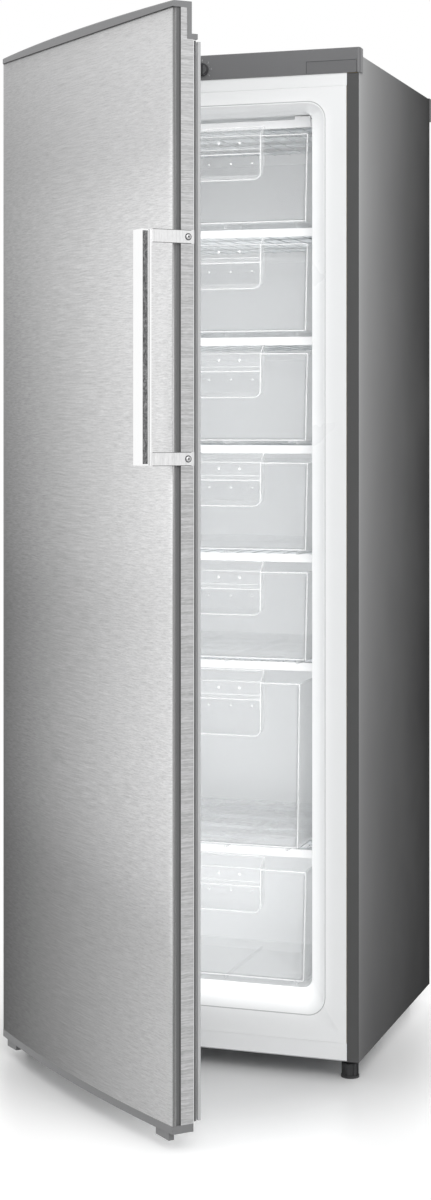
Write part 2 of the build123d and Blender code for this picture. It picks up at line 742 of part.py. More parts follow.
def door_top_cap():
    """Moulded top of the door: arched apron, stepped back that clears the fascia, hinge corner."""
    wall = CAP_WALL
    leg_top = DOOR_TOP - wall
    corner_right = POCKET_RIGHT + wall
    with BuildPart() as door_top_cap:
        with BuildSketch(door_level(CAP_HIDDEN)):
            door_outline(-CAP_PROUD, CAP_FRONT_BACK)
        extrude(amount=DOOR_TOP - CAP_HIDDEN)
        chamfer(door_top_cap.faces().sort_by(Axis.Z)[-1].edges().filter_by(GeomType.CIRCLE), 2)
        with BuildSketch(door_level(CAP_HIDDEN)):
            door_outline(2, CAP_FRONT_BACK + 1)
        extrude(amount=leg_top - CAP_HIDDEN, mode=Mode.SUBTRACT)
        arched_cut(DOOR_BODY_TOP, CAP_HIDDEN - 9)
        with BuildSketch(door_section(DOOR_LEFT - CAP_PROUD)):
            rectangle(CAP_FRONT_BACK, CAP_LEG_BACK, CAP_LEG_BOTTOM, CAP_LEG_TOP)
            rectangle(CAP_FRONT_BACK, CAP_STEP, CAP_LEG_BOTTOM, DOOR_TOP)
        extrude(amount=DOOR_RIGHT - DOOR_LEFT + 2 * CAP_PROUD)
        with BuildSketch(door_section(DOOR_LEFT + wall)):
            rectangle(0, CAP_LEG_BACK - wall, CAP_LEG_BOTTOM - 1, CAP_LEG_TOP - wall)
            rectangle(0, CAP_STEP - wall, CAP_LEG_BOTTOM - 1, leg_top)
        extrude(amount=DOOR_RIGHT - DOOR_LEFT - 2 * wall, mode=Mode.SUBTRACT)
        floor = door_level(CAP_LEG_BOTTOM)
        slab(floor, DOOR_LEFT, corner_right, SKIN_BACK + 0.1, CAP_STEP, CAP_LEG_TOP - CAP_LEG_BOTTOM)
        slab(floor, DOOR_LEFT + SKIN + TOUCH, corner_right, POCKET_FRONT - wall, CAP_STEP, 55)
        clear = door_level(CAP_LEG_TOP)
        slab(clear, DOOR_LEFT - 9, POCKET_RIGHT, POCKET_FRONT, CAP_LEG_BACK + 9, 99, Mode.SUBTRACT)
        block = door_level(HINGE_BLOCK_BOTTOM)
        slab(block, -14, POCKET_RIGHT, -9.5, 9.5, CAP_LEG_BOTTOM - HINGE_BLOCK_BOTTOM)
        facet_rod(door_level(1600), 0, 0, BUSH_RADIUS, BUSH_SIDES, 99, Mode.SUBTRACT)
        facet_rod(door_level(DOOR_TOP), DOOR_RIGHT - 22, 0, 4, 12, 1.2)
    door_top_cap.part.label = "door_top_cap"
    export_step(door_top_cap.part, "parts/door_top_cap.step")


def door_bottom_cap():
    """Moulded bottom of the door: open tray with the hinge boss and two stop lugs underneath."""
    wall = CAP_WALL
    lug = DOOR_BOTTOM - LUG_BOTTOM
    with BuildPart() as door_bottom_cap:
        with BuildSketch(door_level(DOOR_BOTTOM)):
            door_outline(0, SIDE_BACK)
        extrude(amount=DOOR_BODY_BOTTOM - DOOR_BOTTOM)
        with BuildSketch(door_level(DOOR_BOTTOM + wall)):
            door_outline(wall, SIDE_BACK - wall)
        extrude(amount=DOOR_BODY_BOTTOM, mode=Mode.SUBTRACT)
        facet_rod(door_level(DOOR_BOTTOM), 0, 0, BUSH_RADIUS + 2, BUSH_SIDES, 22)
        facet_rod(door_level(DOOR_BOTTOM - 1), 0, 0, BUSH_RADIUS, BUSH_SIDES, 99, Mode.SUBTRACT)
        slab(door_level(LUG_BOTTOM), -4, 30, DOOR_FRONT, -15, lug)
        slab(door_level(LUG_BOTTOM), DOOR_RIGHT - 52, DOOR_RIGHT - 12, DOOR_FRONT, -15, lug)
    door_bottom_cap.part.label = "door_bottom_cap"
    export_step(door_bottom_cap.part, "parts/door_bottom_cap.step")


def door_foam():
    """Insulation of the door, shaped round the groove strips, the caps and the raised liner."""
    with BuildPart() as door_foam:
        with BuildSketch(door_level(DOOR_BODY_BOTTOM)):
            door_outline(SKIN, SIDE_BACK)
            rectangle(DOOR_LEFT - 9, DOOR_LEFT + 4.5, SKIN_BACK, GROOVE_BACK, Mode.SUBTRACT)
            rectangle(DOOR_RIGHT - 4.5, DOOR_RIGHT + 9, SKIN_BACK, GROOVE_BACK, Mode.SUBTRACT)
        extrude(amount=CAP_LEG_BOTTOM - DOOR_BODY_BOTTOM)
        with BuildSketch(door_level(CAP_LEG_BOTTOM)):
            door_outline(SKIN, 0)
            rectangle(DOOR_RIGHT - 4.5, DOOR_RIGHT + 9, SKIN_BACK, GROOVE_BACK, Mode.SUBTRACT)
            rectangle(DOOR_LEFT - 9, POCKET_RIGHT + CAP_WALL, -60, 9, Mode.SUBTRACT)
        extrude(amount=CAP_HIDDEN - 1 - CAP_LEG_BOTTOM)
        slab(door_level(HINGE_BLOCK_BOTTOM), -14, POCKET_RIGHT, -9.5, 9.5, 99, Mode.SUBTRACT)
        facet_rod(door_level(DOOR_BOTTOM), 0, 0, BUSH_RADIUS + 2, BUSH_SIDES, 23, Mode.SUBTRACT)
        slab(door_front(SIDE_BACK), 102, 454, 142, 1548, SIDE_BACK + LINER - PAD_FACE)
    door_foam.part.label = "door_foam"
    export_step(door_foam.part, "parts/door_foam.step")


def door_liner():
    """White inner sheet of the door with its raised middle, open towards the foam."""
    left = DOOR_LEFT + 0.5
    right = DOOR_RIGHT - 0.5
    with BuildPart() as door_liner:
        slab(door_front(SIDE_BACK), left, right, GASKET_BOTTOM, GASKET_TOP + 1.5, SIDE_BACK - LINER_FACE)
        with BuildSketch(door_front(SIDE_BACK)):
            rounded(82, 474, 122, 1568, 28)
        with BuildSketch(door_front(PAD_FACE)):
            rounded(92, 464, 132, 1558, 28)
        loft()
        with BuildSketch(door_front(SIDE_BACK)):
            rounded(84, 472, 124, 1566, 26)
        with BuildSketch(door_front(PAD_FACE - LINER)):
            rounded(94, 462, 134, 1556, 26)
        loft(mode=Mode.SUBTRACT)
    door_liner.part.label = "door_liner"
    export_step(door_liner.part, "parts/door_liner.step")


def door_gasket():
    """Magnetic gasket: sloped outer flank, flat sealing face and a bellows groove round the outside."""
    left = DOOR_LEFT + 6
    right = DOOR_RIGHT - 6
    ring = GASKET_WIDTH
    with BuildPart() as door_gasket:
        slab(door_front(LINER_FACE), left, right, GASKET_BOTTOM, GASKET_TOP, LINER_FACE - GASKET_FACE)
        contact = door_gasket.faces().sort_by(Axis(DOOR.origin, DOOR.y_dir))[-1]
        chamfer(contact.edges(), length=13, length2=4.9, reference=contact)
        inner = (left + ring, right - ring, GASKET_BOTTOM + ring, GASKET_TOP - ring)
        slab(door_front(0), *inner, -60, Mode.SUBTRACT)
        with BuildSketch(door_front(LINER_FACE + 3)):
            rectangle(left - 5, right + 5, GASKET_BOTTOM - 5, GASKET_TOP + 5)
            rectangle(left + 5, right - 5, GASKET_BOTTOM + 5, GASKET_TOP - 5, Mode.SUBTRACT)
        extrude(amount=-3, mode=Mode.SUBTRACT)
    door_gasket.part.label = "door_gasket"
    export_step(door_gasket.part, "parts/door_gasket.step")


# ---------------------------------------------------------------- handle


def handle_bar():
    """Flat upright bar, with the recess for its inlay and a thin groove on the outer side."""
    left = DOOR_RIGHT - BAR_WIDTH
    with BuildPart() as handle_bar:
        slab(door_level(BAR_BOTTOM), left, DOOR_RIGHT, BAR_FRONT, BAR_BACK, BAR_TOP - BAR_BOTTOM)
        uprights = handle_bar.edges().filter_by(Axis.Z).sort_by(Axis(DOOR.origin, DOOR.x_dir))
        fillet(uprights[:2], 4)
        chamfer(handle_bar.faces().sort_by(Axis.Z)[-1].edges(), 0.7)
        chamfer(handle_bar.faces().sort_by(Axis.Z)[0].edges(), 0.7)
        side = door_section(DOOR_RIGHT - 1.5)
        slab(side, BAR_FRONT + 1, BAR_FRONT + 9.4, BAR_BOTTOM + 3, BAR_TOP - 3, 9, Mode.SUBTRACT)
        groove = door_section(DOOR_RIGHT - 0.8)
        slab(groove, BAR_FRONT + 11, BAR_FRONT + 12, BAR_BOTTOM - 1, BAR_TOP + 1, 9, Mode.SUBTRACT)
    handle_bar.part.label = "handle_bar"
    export_step(handle_bar.part, "parts/handle_bar.step")


def handle_inlay():
    """Dark strip set in the outer side of the handle bar."""
    side = door_section(DOOR_RIGHT - 1.5)
    with BuildPart() as handle_inlay:
        slab(side, BAR_FRONT + 1.1, BAR_FRONT + 9.3, BAR_BOTTOM + 3.1, BAR_TOP - 3.1, 1.8)
    handle_inlay.part.label = "handle_inlay"
    export_step(handle_inlay.part, "parts/handle_inlay.step")


def handle_brackets():
    """Two flat angles that carry the bar: a foot behind the bar and a strap along the door's edge."""
    outside = DOOR_RIGHT + BRACKET_SHEET
    foot = BAR_BACK + BRACKET_SHEET
    with BuildPart() as handle_brackets:
        for low in (BAR_BOTTOM, BAR_TOP - BRACKET_HEIGHT):
            slab(door_level(low), DOOR_RIGHT, outside, BAR_BACK, SIDE_BACK, BRACKET_HEIGHT)
            slab(door_level(low), DOOR_RIGHT - 24, outside, BAR_BACK, foot, BRACKET_HEIGHT)
    handle_brackets.part.label = "handle_brackets"
    export_step(handle_brackets.part, "parts/handle_brackets.step")


def handle_screws():
    """One round-headed screw through each bracket into the door's edge."""
    outside = DOOR_RIGHT + BRACKET_SHEET
    with BuildPart() as handle_screws:
        for low in (BAR_BOTTOM, BAR_TOP - BRACKET_HEIGHT):
            facet_rod(door_section(outside), SCREW_BEHIND, low + BRACKET_HEIGHT / 2, 4, 16, 1.8)
        heads = handle_screws.faces().group_by(Axis(DOOR.origin, DOOR.x_dir))[-1]
        chamfer(heads.edges(), 0.7)
    handle_screws.part.label = "handle_screws"
    export_step(handle_screws.part, "parts/handle_screws.step")


# ---------------------------------------------------------------- hinges


def upper_hinge():
    """Upper hinge angle: flange in the fascia window, arm over the door and the pin pointing down."""
    left = -HINGE_WINDOW_OUT + 0.4
    right = -HINGE_WINDOW_IN - 0.4
    with BuildPart() as upper_hinge:
        slab(front(0), left, right, CAP_LEG_TOP, HINGE_WINDOW_TOP - 0.4, 2.5)
        with BuildSketch(level(UPPER_ARM)):
            with Locations((HINGE_X, HINGE_DEPTH)):
                Circle(ARM_HALF)
            rectangle(HINGE_X - ARM_HALF, HINGE_X + ARM_HALF, HINGE_DEPTH, -1)
        extrude(amount=HINGE_SHEET)
        rod(level(UPPER_ARM), HINGE_X, HINGE_DEPTH, PIN_RADIUS, -23)
    upper_hinge.part.label = "upper_hinge"
    export_step(upper_hinge.part, "parts/upper_hinge.step")


def lower_hinge():
    """Lower hinge: plate under the base, riser, arm under the door and the pin pointing up."""
    with BuildPart() as lower_hinge:
        slab(level(BASE_Z - HINGE_SHEET), -297, -258, 2, 70, HINGE_SHEET)
        slab(level(LOWER_ARM), HINGE_X - ARM_HALF, HINGE_X + ARM_HALF, 2, 6, BASE_Z - LOWER_ARM)
        with BuildSketch(level(LOWER_ARM)):
            with Locations((HINGE_X, HINGE_DEPTH)):
                Circle(ARM_HALF)
            rectangle(HINGE_X - ARM_HALF, HINGE_X + ARM_HALF, HINGE_DEPTH, 6)
        extrude(amount=HINGE_SHEET)
        rod(level(LOWER_ARM), HINGE_X, HINGE_DEPTH, PIN_RADIUS, 25)
        rod(level(LOWER_ARM), -FOOT_X, FOOT_DEPTH, STUD_RADIUS + 0.4, 20, Mode.SUBTRACT)
    lower_hinge.part.label = "lower_hinge"
    export_step(lower_hinge.part, "parts/lower_hinge.step")


def hinge_screws():
    """Three hexagon-headed screws on the upper hinge's flange."""
    with BuildPart() as hinge_screws:
        for x in (-290.5, -254, -224):
            facet_rod(front(-2.5), x, 1654, 4, 6, 0.8)
    hinge_screws.part.label = "hinge_screws"
    export_step(hinge_screws.part, "parts/hinge_screws.step")


def hinge_bushes():
    """Sixteen-sided plastic bush round each hinge pin, seated in the door's caps."""
    bore = PIN_RADIUS + RUNNING_GAP
    with BuildPart() as hinge_bushes:
        for low, high in ((DOOR_BOTTOM, 51), (HINGE_BLOCK_BOTTOM + 2, CAP_LEG_TOP)):
            facet_rod(door_level(low), 0, 0, BUSH_RADIUS - TOUCH, BUSH_SIDES, high - low)
            rod(door_level(low - 1), 0, 0, bore, high - low + 2, Mode.SUBTRACT)
    hinge_bushes.part.label = "hinge_bushes"
    export_step(hinge_bushes.part, "parts/hinge_bushes.step")


# ---------------------------------------------------------------- underside


def levelling_feet():
    """Two screw feet: ribbed hand wheel on a flat pad, with a stud up through the base."""
    for name, x in (("left", -FOOT_X), ("right", FOOT_X)):
        with BuildPart() as levelling_foot:
            facet_rod(level(0), x, FOOT_DEPTH, FOOT_RADIUS, 24, 4)
            with BuildSketch(level(4)):
                with Locations((x, FOOT_DEPTH)):
                    RegularPolygon(FOOT_RADIUS - 2.5, 8)
                    with PolarLocations(FOOT_RADIUS - 3, 8):
                        Rectangle(4, 3)
            extrude(amount=FOOT_HEIGHT - 4)
            rod(level(FOOT_HEIGHT), x, FOOT_DEPTH, STUD_RADIUS, 29)
        levelling_foot.part.label = f"levelling_foot_{name}"
        export_step(levelling_foot.part, f"parts/levelling_foot_{name}.step")


def rollers():
    """Two rear rollers turning on their axles."""
    for name, x in (("left", -ROLLER_X), ("right", ROLLER_X)):
        with BuildPart() as roller:
            facet_rod(section(x - 9), ROLLER_DEPTH, ROLLER_RADIUS, ROLLER_RADIUS, 28, 18)
            rod(section(x - 10), ROLLER_DEPTH, ROLLER_RADIUS, AXLE_RADIUS + RUNNING_GAP, 20, Mode.SUBTRACT)
        roller.part.label = f"roller_{name}"
        export_step(roller.part, f"parts/roller_{name}.step")


def roller_brackets():
    """Fork over each rear roller, with its axle."""
    near = ROLLER_DEPTH - 16
    with BuildPart() as roller_brackets:
        for x in (-ROLLER_X, ROLLER_X):
            slab(level(BASE_Z - 2), x - 12, x + 12, near, near + 32, 2)
            for cheek in (x - 12, x + 10):
                slab(section(cheek), near + 6, near + 26, 8, BASE_Z, 2)
            rod(section(x - 12), ROLLER_DEPTH, ROLLER_RADIUS, AXLE_RADIUS, 24)
    roller_brackets.part.label = "roller_brackets"
    export_step(roller_brackets.part, "parts/roller_brackets.step")


# ---------------------------------------------------------------- cooling circuit


def pot_rings(base, rings):
    """Many-sided rings of the pot, each narrower than the one below it: (height, change of radius)."""
    for (start, wide), (end, narrow) in zip(rings, rings[1:]):
        with BuildSketch(level(base + start)) as ring:
            with Locations((COMPRESSOR_X, COMPRESSOR_DEPTH)):
                RegularPolygon(COMPRESSOR_RADIUS + wide, POT_SIDES)
        lean = degrees(atan2((wide - narrow) * cos(pi / POT_SIDES), end - start))
        extrude(ring.sketch, amount=end - start, taper=lean)


def compressor():
    """Welded compressor pot with its seam flange and mounting plate."""
    radius = COMPRESSOR_RADIUS
    near = COMPRESSOR_DEPTH - 70
    upper = ((160, 0), (180, -7), (196, -24), (205, -45), (208, -64))
    lower = ((0, 0), (18, -8), (27.5, -22))
    with BuildPart() as foot:
        pot_rings(0, lower)
    with BuildPart() as compressor:
        facet_rod(level(74), COMPRESSOR_X, COMPRESSOR_DEPTH, radius, POT_SIDES, 86)
        facet_rod(level(124), COMPRESSOR_X, COMPRESSOR_DEPTH, radius + 3, POT_SIDES, 6)
        pot_rings(0, upper)
        mirror(foot.part.moved(Location((0, 0, 74))), about=level(74))
        slab(level(46), COMPRESSOR_X - 92, COMPRESSOR_X + 92, near, near + 140, 2)
    compressor.part.label = "compressor"
    export_step(compressor.part, "parts/compressor.step")


def compressor_mounts():
    """Four rubber mounts under the compressor's plate."""
    with BuildPart() as compressor_mounts:
        for x in (COMPRESSOR_X - 80, COMPRESSOR_X + 80):
            for depth in (COMPRESSOR_DEPTH - 58, COMPRESSOR_DEPTH + 58):
                facet_rod(level(BASE_Z + BASE_SHEET), x, depth, 11, 14, 12)
    compressor_mounts.part.label = "compressor_mounts"
    export_step(compressor_mounts.part, "parts/compressor_mounts.step")


def relay_cover():
    """Moulded cover over the starting relay on the compressor's side."""
    near = COMPRESSOR_X + COMPRESSOR_RADIUS + 3.2
    with BuildPart() as relay_cover:
        slab(section(near), COMPRESSOR_DEPTH - 28, COMPRESSOR_DEPTH + 28, 92, 162, 34)
        chamfer(relay_cover.edges().filter_by(Axis.Z), 4)
        slab(section(near), COMPRESSOR_DEPTH - 25, COMPRESSOR_DEPTH + 25, 95, 159, 31, Mode.SUBTRACT)
    relay_cover.part.label = "relay_cover"
    export_step(relay_cover.part, "parts/relay_cover.step")


def filter_drier():
    """Copper filter drier in the liquid line."""
    with BuildPart() as filter_drier:
        facet_rod(level(120), 200, 500, 9, 20, 90)
        chamfer(filter_drier.faces().sort_by(Axis.Z)[-1].edges(), 4)
        chamfer(filter_drier.faces().sort_by(Axis.Z)[0].edges(), 4)
    filter_drier.part.label = "filter_drier"
    export_step(filter_drier.part, "parts/filter_drier.step")


def pipe(points, heading):
    """Six-sided pipe with mitred bends through a list of (across, depth, height) points."""
    places = [(x, FRONT_Y + depth, z) for x, depth, z in points]
    with BuildPart() as run:
        with BuildLine() as route:
            Polyline(*places)
        with BuildSketch(Plane(origin=places[0], z_dir=heading)):
            RegularPolygon(PIPE, 6)
        sweep(path=route.wires()[0], transition=Transition.RIGHT)
    return run.part


def refrigerant_pipes():
    """Discharge pipe to the condenser, its return to the drier, and the suction pipe."""
    side = COMPRESSOR_X - COMPRESSOR_RADIUS - 0.5
    mid = COMPRESSOR_DEPTH
    far = CONDENSER_DEPTH
    top = CONDENSER_TOP
    start = CONDENSER_BOTTOM - PIPE - 1
    discharge = pipe([(side, mid, 100), (-70, mid, 100), (-70, mid, 236), (-70, far, 236)], (-1, 0, 0))
    upright = pipe([(-70, far, 233), (-70, far, 262), (-140, far, 262), (-140, far, start)], (0, 0, 1))
    suction = pipe([(side, mid - 20, 90), (-95, mid - 20, 90), (-95, mid - 20, 263.9)], (-1, 0, 0))
    liquid = pipe([(200, 500, 119.9), (200, 500, 70), (252, 500, 70), (252, far, 70)], (0, 0, -1))
    back_run = pipe([(252, far, 67), (252, far, top), (150.5, far, top)], (0, 0, 1))
    with BuildPart() as refrigerant_pipes:
        add(discharge)
        add(upright)
        add(suction)
        add(liquid)
        add(back_run)
        rod(level(210), 200, 500, 1.5, 53.9)
    refrigerant_pipes.part.label = "refrigerant_pipes"
    export_step(refrigerant_pipes.part, "parts/refrigerant_pipes.step")


def condenser():
    """Condenser on the back: a serpentine tube between two rows of upright wires."""
    plane = front(CONDENSER_DEPTH)
    inner = CONDENSER_DEPTH - CONDENSER_TUBE - TOUCH
    outer = CONDENSER_DEPTH + CONDENSER_TUBE + TOUCH + WIRE
    tube = serpentine(plane, CONDENSER_PASSES, CONDENSER_PITCH, 150, CONDENSER_BOTTOM, CONDENSER_TUBE)
    with BuildPart() as condenser:
        add(tube)
        wire_row(front(inner), 13, 190, CONDENSER_BOTTOM - 5, CONDENSER_TOP + 5)
        wire_row(front(outer), 13, 190, CONDENSER_BOTTOM - 5, CONDENSER_TOP + 5)
    condenser.part.label = "condenser"
    export_step(condenser.part, "parts/condenser.step")


def condenser_clips():
    """Six plastic stand-offs between the rear panel and the condenser."""
    face = PANEL_DEPTH + 0.5
    gap = CONDENSER_DEPTH - CONDENSER_TUBE - face
    with BuildPart() as condenser_clips:
        for row in (0, 4, 8):
            height = CONDENSER_BOTTOM + row * CONDENSER_PITCH
            for x in (-142.5, 142.5):
                slab(front(face), x - 9, x + 9, height - 7, height + 7, -gap)
    condenser_clips.part.label = "condenser_clips"
    export_step(condenser_clips.part, "parts/condenser_clips.step")


def wall_spacers():
    """Two dark spacers at the top rear corners that keep the condenser off the wall."""
    with BuildPart() as wall_spacers:
        for side in (-1, 1):
            outer = side * HALF
            slab(front(SHELL_DEPTH), outer, outer - side * 10, SHELL_TOP - 40, SHELL_TOP + 2, -17)
            slab(front(SHELL_DEPTH), outer, outer - side * 22, SHELL_TOP - 30, SHELL_TOP - 8, -3)
    wall_spacers.part.label = "wall_spacers"
    export_step(wall_spacers.part, "parts/wall_spacers.step")


def cable_gland():
    """Gland for the supply cable in the lower corner of the rear panel."""
    face = front(PANEL_DEPTH + 0.5)
    with BuildPart() as cable_gland:
        facet_rod(face, -262, 286, 11, 20, -3)
        facet_rod(face, -262, 286, 8, 20, -10)
        facet_rod(face, -262, 286, 3.6, 12, -12, Mode.SUBTRACT)
    cable_gland.part.label = "cable_gland"
    export_step(cable_gland.part, "parts/cable_gland.step")


def main():
    """Build every piece."""
    outer_shell()
    cabinet_foam()
    inner_liner()
    upper_front_rail()
    lower_front_rail()
    rear_panel()
    base_plate()
    compressor_tray()
    bay_lining()
    control_fascia()
    fascia_hinge_cover()
    thermostat()
    thermostat_knob()
    evaporator_shelves()
    evaporator_riser()
    shelf_trims()
    drawers()
    door_skin()
    door_edge_trims()
    door_side_sheets()
    door_top_cap()
    door_bottom_cap()
    door_foam()
    door_liner()
    door_gasket()
    handle_bar()
    handle_inlay()
    handle_brackets()
    handle_screws()
    upper_hinge()
    lower_hinge()
    hinge_screws()
    hinge_bushes()
    levelling_feet()
    rollers()
    roller_brackets()
    compressor()
    compressor_mounts()
    relay_cover()
    filter_drier()
    refrigerant_pipes()
    condenser()
    condenser_clips()
    wall_spacers()
    cable_gland()


main()
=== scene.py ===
"""Looks of an upright freezer whose brushed steel door stands ajar.

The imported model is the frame. Every finish is a procedural material on object coordinates, and the pieces
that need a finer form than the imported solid, such as the bowed skin or the wires of the freezing shelves,
are modelled here around it.
"""

import json
import logging
import math
from dataclasses import dataclass, field
from enum import Enum

import bmesh
import bpy
from mathutils import Matrix, Vector


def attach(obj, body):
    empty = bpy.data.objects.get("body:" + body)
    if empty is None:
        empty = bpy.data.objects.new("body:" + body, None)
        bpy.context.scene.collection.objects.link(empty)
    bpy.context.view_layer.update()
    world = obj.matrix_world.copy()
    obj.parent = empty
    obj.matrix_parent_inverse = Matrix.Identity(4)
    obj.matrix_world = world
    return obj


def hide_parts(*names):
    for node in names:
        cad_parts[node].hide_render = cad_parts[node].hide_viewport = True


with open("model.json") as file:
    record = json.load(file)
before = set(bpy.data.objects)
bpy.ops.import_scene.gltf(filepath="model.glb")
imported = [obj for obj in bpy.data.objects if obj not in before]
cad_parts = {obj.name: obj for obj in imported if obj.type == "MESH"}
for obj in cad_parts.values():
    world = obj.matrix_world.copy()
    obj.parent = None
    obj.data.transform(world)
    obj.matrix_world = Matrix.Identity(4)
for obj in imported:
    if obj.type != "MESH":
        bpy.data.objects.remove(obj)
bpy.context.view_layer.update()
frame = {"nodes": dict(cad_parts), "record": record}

LOG = logging.getLogger("freezer")
MM = 0.001
FRONT_Y = -42.0
HALF_TURN = math.pi
QUARTER_X = Matrix.Rotation(HALF_TURN / 2, 4, "X")
QUARTER_Y = Matrix.Rotation(HALF_TURN / 2, 4, "Y")
WHITE = (1.0, 1.0, 1.0)
UPRIGHT = (0.0, 90.0, 0.0)
JOIN = 0.000005
SHARP = math.radians(33.0)
Colour = tuple[float, float, float]
Pair = tuple[float, float]
Mesh = bmesh.types.BMesh
Socket = bpy.types.NodeSocket
Outputs = bpy.types.bpy_prop_collection


def cabinet_place() -> Matrix:
    """Return the cabinet's axes: x across, y depth behind the front plane, z height."""
    return Matrix.Translation((0.0, FRONT_Y, 0.0))


@dataclass(frozen=True)
class DoorPlace:
    """Where the door's own axes stand: x across from the pin, y behind the pin, z height."""

    pin_x: float = -278.0
    pin_y: float = -74.0
    opened: float = 42.9

    def matrix(self) -> Matrix:
        """Return the door's axes in the row frame, in millimetres."""
        turn = Matrix.Rotation(-math.radians(self.opened), 4, "Z")
        return Matrix.Translation((self.pin_x, self.pin_y, 0.0)) @ turn


DOOR = DoorPlace()


class Body(str, Enum):
    """CAD bodies that pieces ride on, beside the numbered drawers."""

    CABINET = "cabinet"
    DOOR = "door"
    KNOB = "knob"


# ---------------------------------------------------------------- shader nodes


class NodeTree:
    """A node tree under construction."""

    def __init__(self, tree: bpy.types.NodeTree) -> None:
        """Take up a tree."""
        self.tree = tree

    def put(self, socket: Socket, value: object) -> None:
        """Set a socket, or link it when the value is a socket.

        Args:
            socket: The input to fill.
            value: A number, a tuple or another node's output.
        """
        if isinstance(value, Socket):
            self.tree.links.new(value, socket)
        else:
            socket.default_value = value

    def node(self, kind: str, inputs: tuple | dict = (), **settings: object) -> Outputs:
        """Add a node.

        Args:
            kind: Blender's name of the node.
            inputs: Values or sockets for its inputs, in their order or by name or number.
            **settings: Its properties, set before the inputs.

        Returns:
            Its outputs.
        """
        node = self.tree.nodes.new(kind)
        for label, value in settings.items():
            setattr(node, label, value)
        for key, value in inputs.items() if isinstance(inputs, dict) else enumerate(inputs):
            self.put(node.inputs[key], value)
        return node.outputs

    def math(self, operation: str, first: object, second: object = 0.0, clamp: bool = False) -> Socket:
        """Add a math node.

        Args:
            operation: Blender's name of the operation.
            first: First value or socket.
            second: Second value or socket.
            clamp: Whether the result is kept between 0 and 1.

        Returns:
            The node's output.
        """
        return self.node("ShaderNodeMath", (first, second), operation=operation, use_clamp=clamp)[0]

    def stretch(self, value: Socket, source: Pair, target: Pair = (0.0, 1.0), kind: str = "LINEAR") -> Socket:
        """Move a value from one range to another and keep it within that.

        Args:
            value: The value's socket.
            source: Its low and its high.
            target: What they become.
            kind: Blender's name of the interpolation.

        Returns:
            The node's output.
        """
        labels = ("Value", "From Min", "From Max", "To Min", "To Max")
        inputs = dict(zip(labels, (value, *source, *target)))
        return self.node("ShaderNodeMapRange", inputs, interpolation_type=kind)[0]


class EffectTree(NodeTree):
    """A shader node group under construction, with named inputs and outputs."""

    def __init__(self, name: str, outputs: tuple[str, ...], **inputs: float) -> None:
        """Make the group and its sockets.

        Args:
            name: Name of the group.
            outputs: Names of the number outputs.
            **inputs: Number inputs with their default values; a Vector input comes first.
        """
        super().__init__(bpy.data.node_groups.new(name, "ShaderNodeTree"))
        add = self.tree.interface.new_socket
        add("Vector", in_out="INPUT", socket_type="NodeSocketVector")
        for label, value in inputs.items():
            add(label, in_out="INPUT", socket_type="NodeSocketFloat").default_value = value
        for label in outputs:
            add(label, in_out="OUTPUT", socket_type="NodeSocketFloat")
        self.source = self.node("NodeGroupInput")

    def noise(self, vector: Socket, scale: object, detail: float) -> Socket:
        """Add a noise texture.

        Args:
            vector: Coordinates.
            scale: Frequency for each metre.
            detail: Octaves.

        Returns:
            The noise value, about 0.5 on average.
        """
        inputs = {"Vector": vector, "Scale": scale, "Detail": detail, "Roughness": 0.5}
        return self.node("ShaderNodeTexNoise", inputs)[0]

    def out(self, *values: Socket) -> bpy.types.NodeTree:
        """Feed the group's outputs and return the finished group."""
        self.node("NodeGroupOutput", values)
        return self.tree


class Effects:
    """Shader effects that more than one finish uses, each built once."""

    def __init__(self) -> None:
        """Build the groups."""
        self.grain = self._grain()
        self.pebble = self._cloudy("PebbledSkin", 900.0, 2.0)
        self.patches = self._cloudy("SlowPatches", 6.0, 3.0)
        self.fade = self._fade()

    @staticmethod
    def _grain() -> bpy.types.NodeTree:
        """Brushed grain: short wavering streaks along x.

        Returns:
            The group.
        """
        slow, sway, shorter, denser, fine_share = 26.0, 12.0, 2.4, 2.6, 0.4
        effect = EffectTree("BrushedGrain", ("Streak", "Height"), Along=30.0, Across=420.0, Waver=0.6)
        vector, along, across, waver = (effect.source[number] for number in range(4))
        x, y, z = effect.node("ShaderNodeSeparateXYZ", (vector,))
        swell = effect.math("SUBTRACT", effect.noise(vector, slow, 2.0), 0.5)
        lift = effect.math("MULTIPLY", effect.math("MULTIPLY", swell, waver), sway)
        run = effect.math("MULTIPLY", x, along)
        deep = effect.math("MULTIPLY", y, across)
        high = effect.math("ADD", effect.math("MULTIPLY", z, across), lift)
        places = ((run, deep, high), (effect.math("MULTIPLY", run, shorter), deep, high))
        coarse, dense = (effect.node("ShaderNodeCombineXYZ", place)[0] for place in places)
        broad, fine = effect.noise(coarse, 1.0, 2.0), effect.noise(dense, denser, 1.0)
        streak = effect.node("ShaderNodeMix", {0: fine_share, 2: broad, 3: fine})[0]
        return effect.out(streak, fine)

    @staticmethod
    def _cloudy(name: str, scale: float, detail: float) -> bpy.types.NodeTree:
        """Plain noise: fine for the skin of plastic and paint, coarse for slow patches of tone and gloss.

        Args:
            name: Name of the group.
            scale: Frequency for each metre, unless a finish gives its own.
            detail: Octaves.

        Returns:
            The group.
        """
        effect = EffectTree(name, ("Value",), Scale=scale)
        return effect.out(effect.noise(effect.source["Vector"], effect.source["Scale"], detail))

    @staticmethod
    def _fade() -> bpy.types.NodeTree:
        """Even fade from 0 to 1 along x, between two places in metres.

        Returns:
            The group.
        """
        effect = EffectTree("EvenFade", ("Share",), Start=0.0, End=1.0)
        vector, start, end = (effect.source[number] for number in range(3))
        x = effect.node("ShaderNodeSeparateXYZ", (vector,))[0]
        share = effect.math("DIVIDE", effect.math("SUBTRACT", x, start), effect.math("SUBTRACT", end, start))
        return effect.out(effect.math("MINIMUM", effect.math("MAXIMUM", share, 0.0), 1.0))


EFFECTS = Effects()


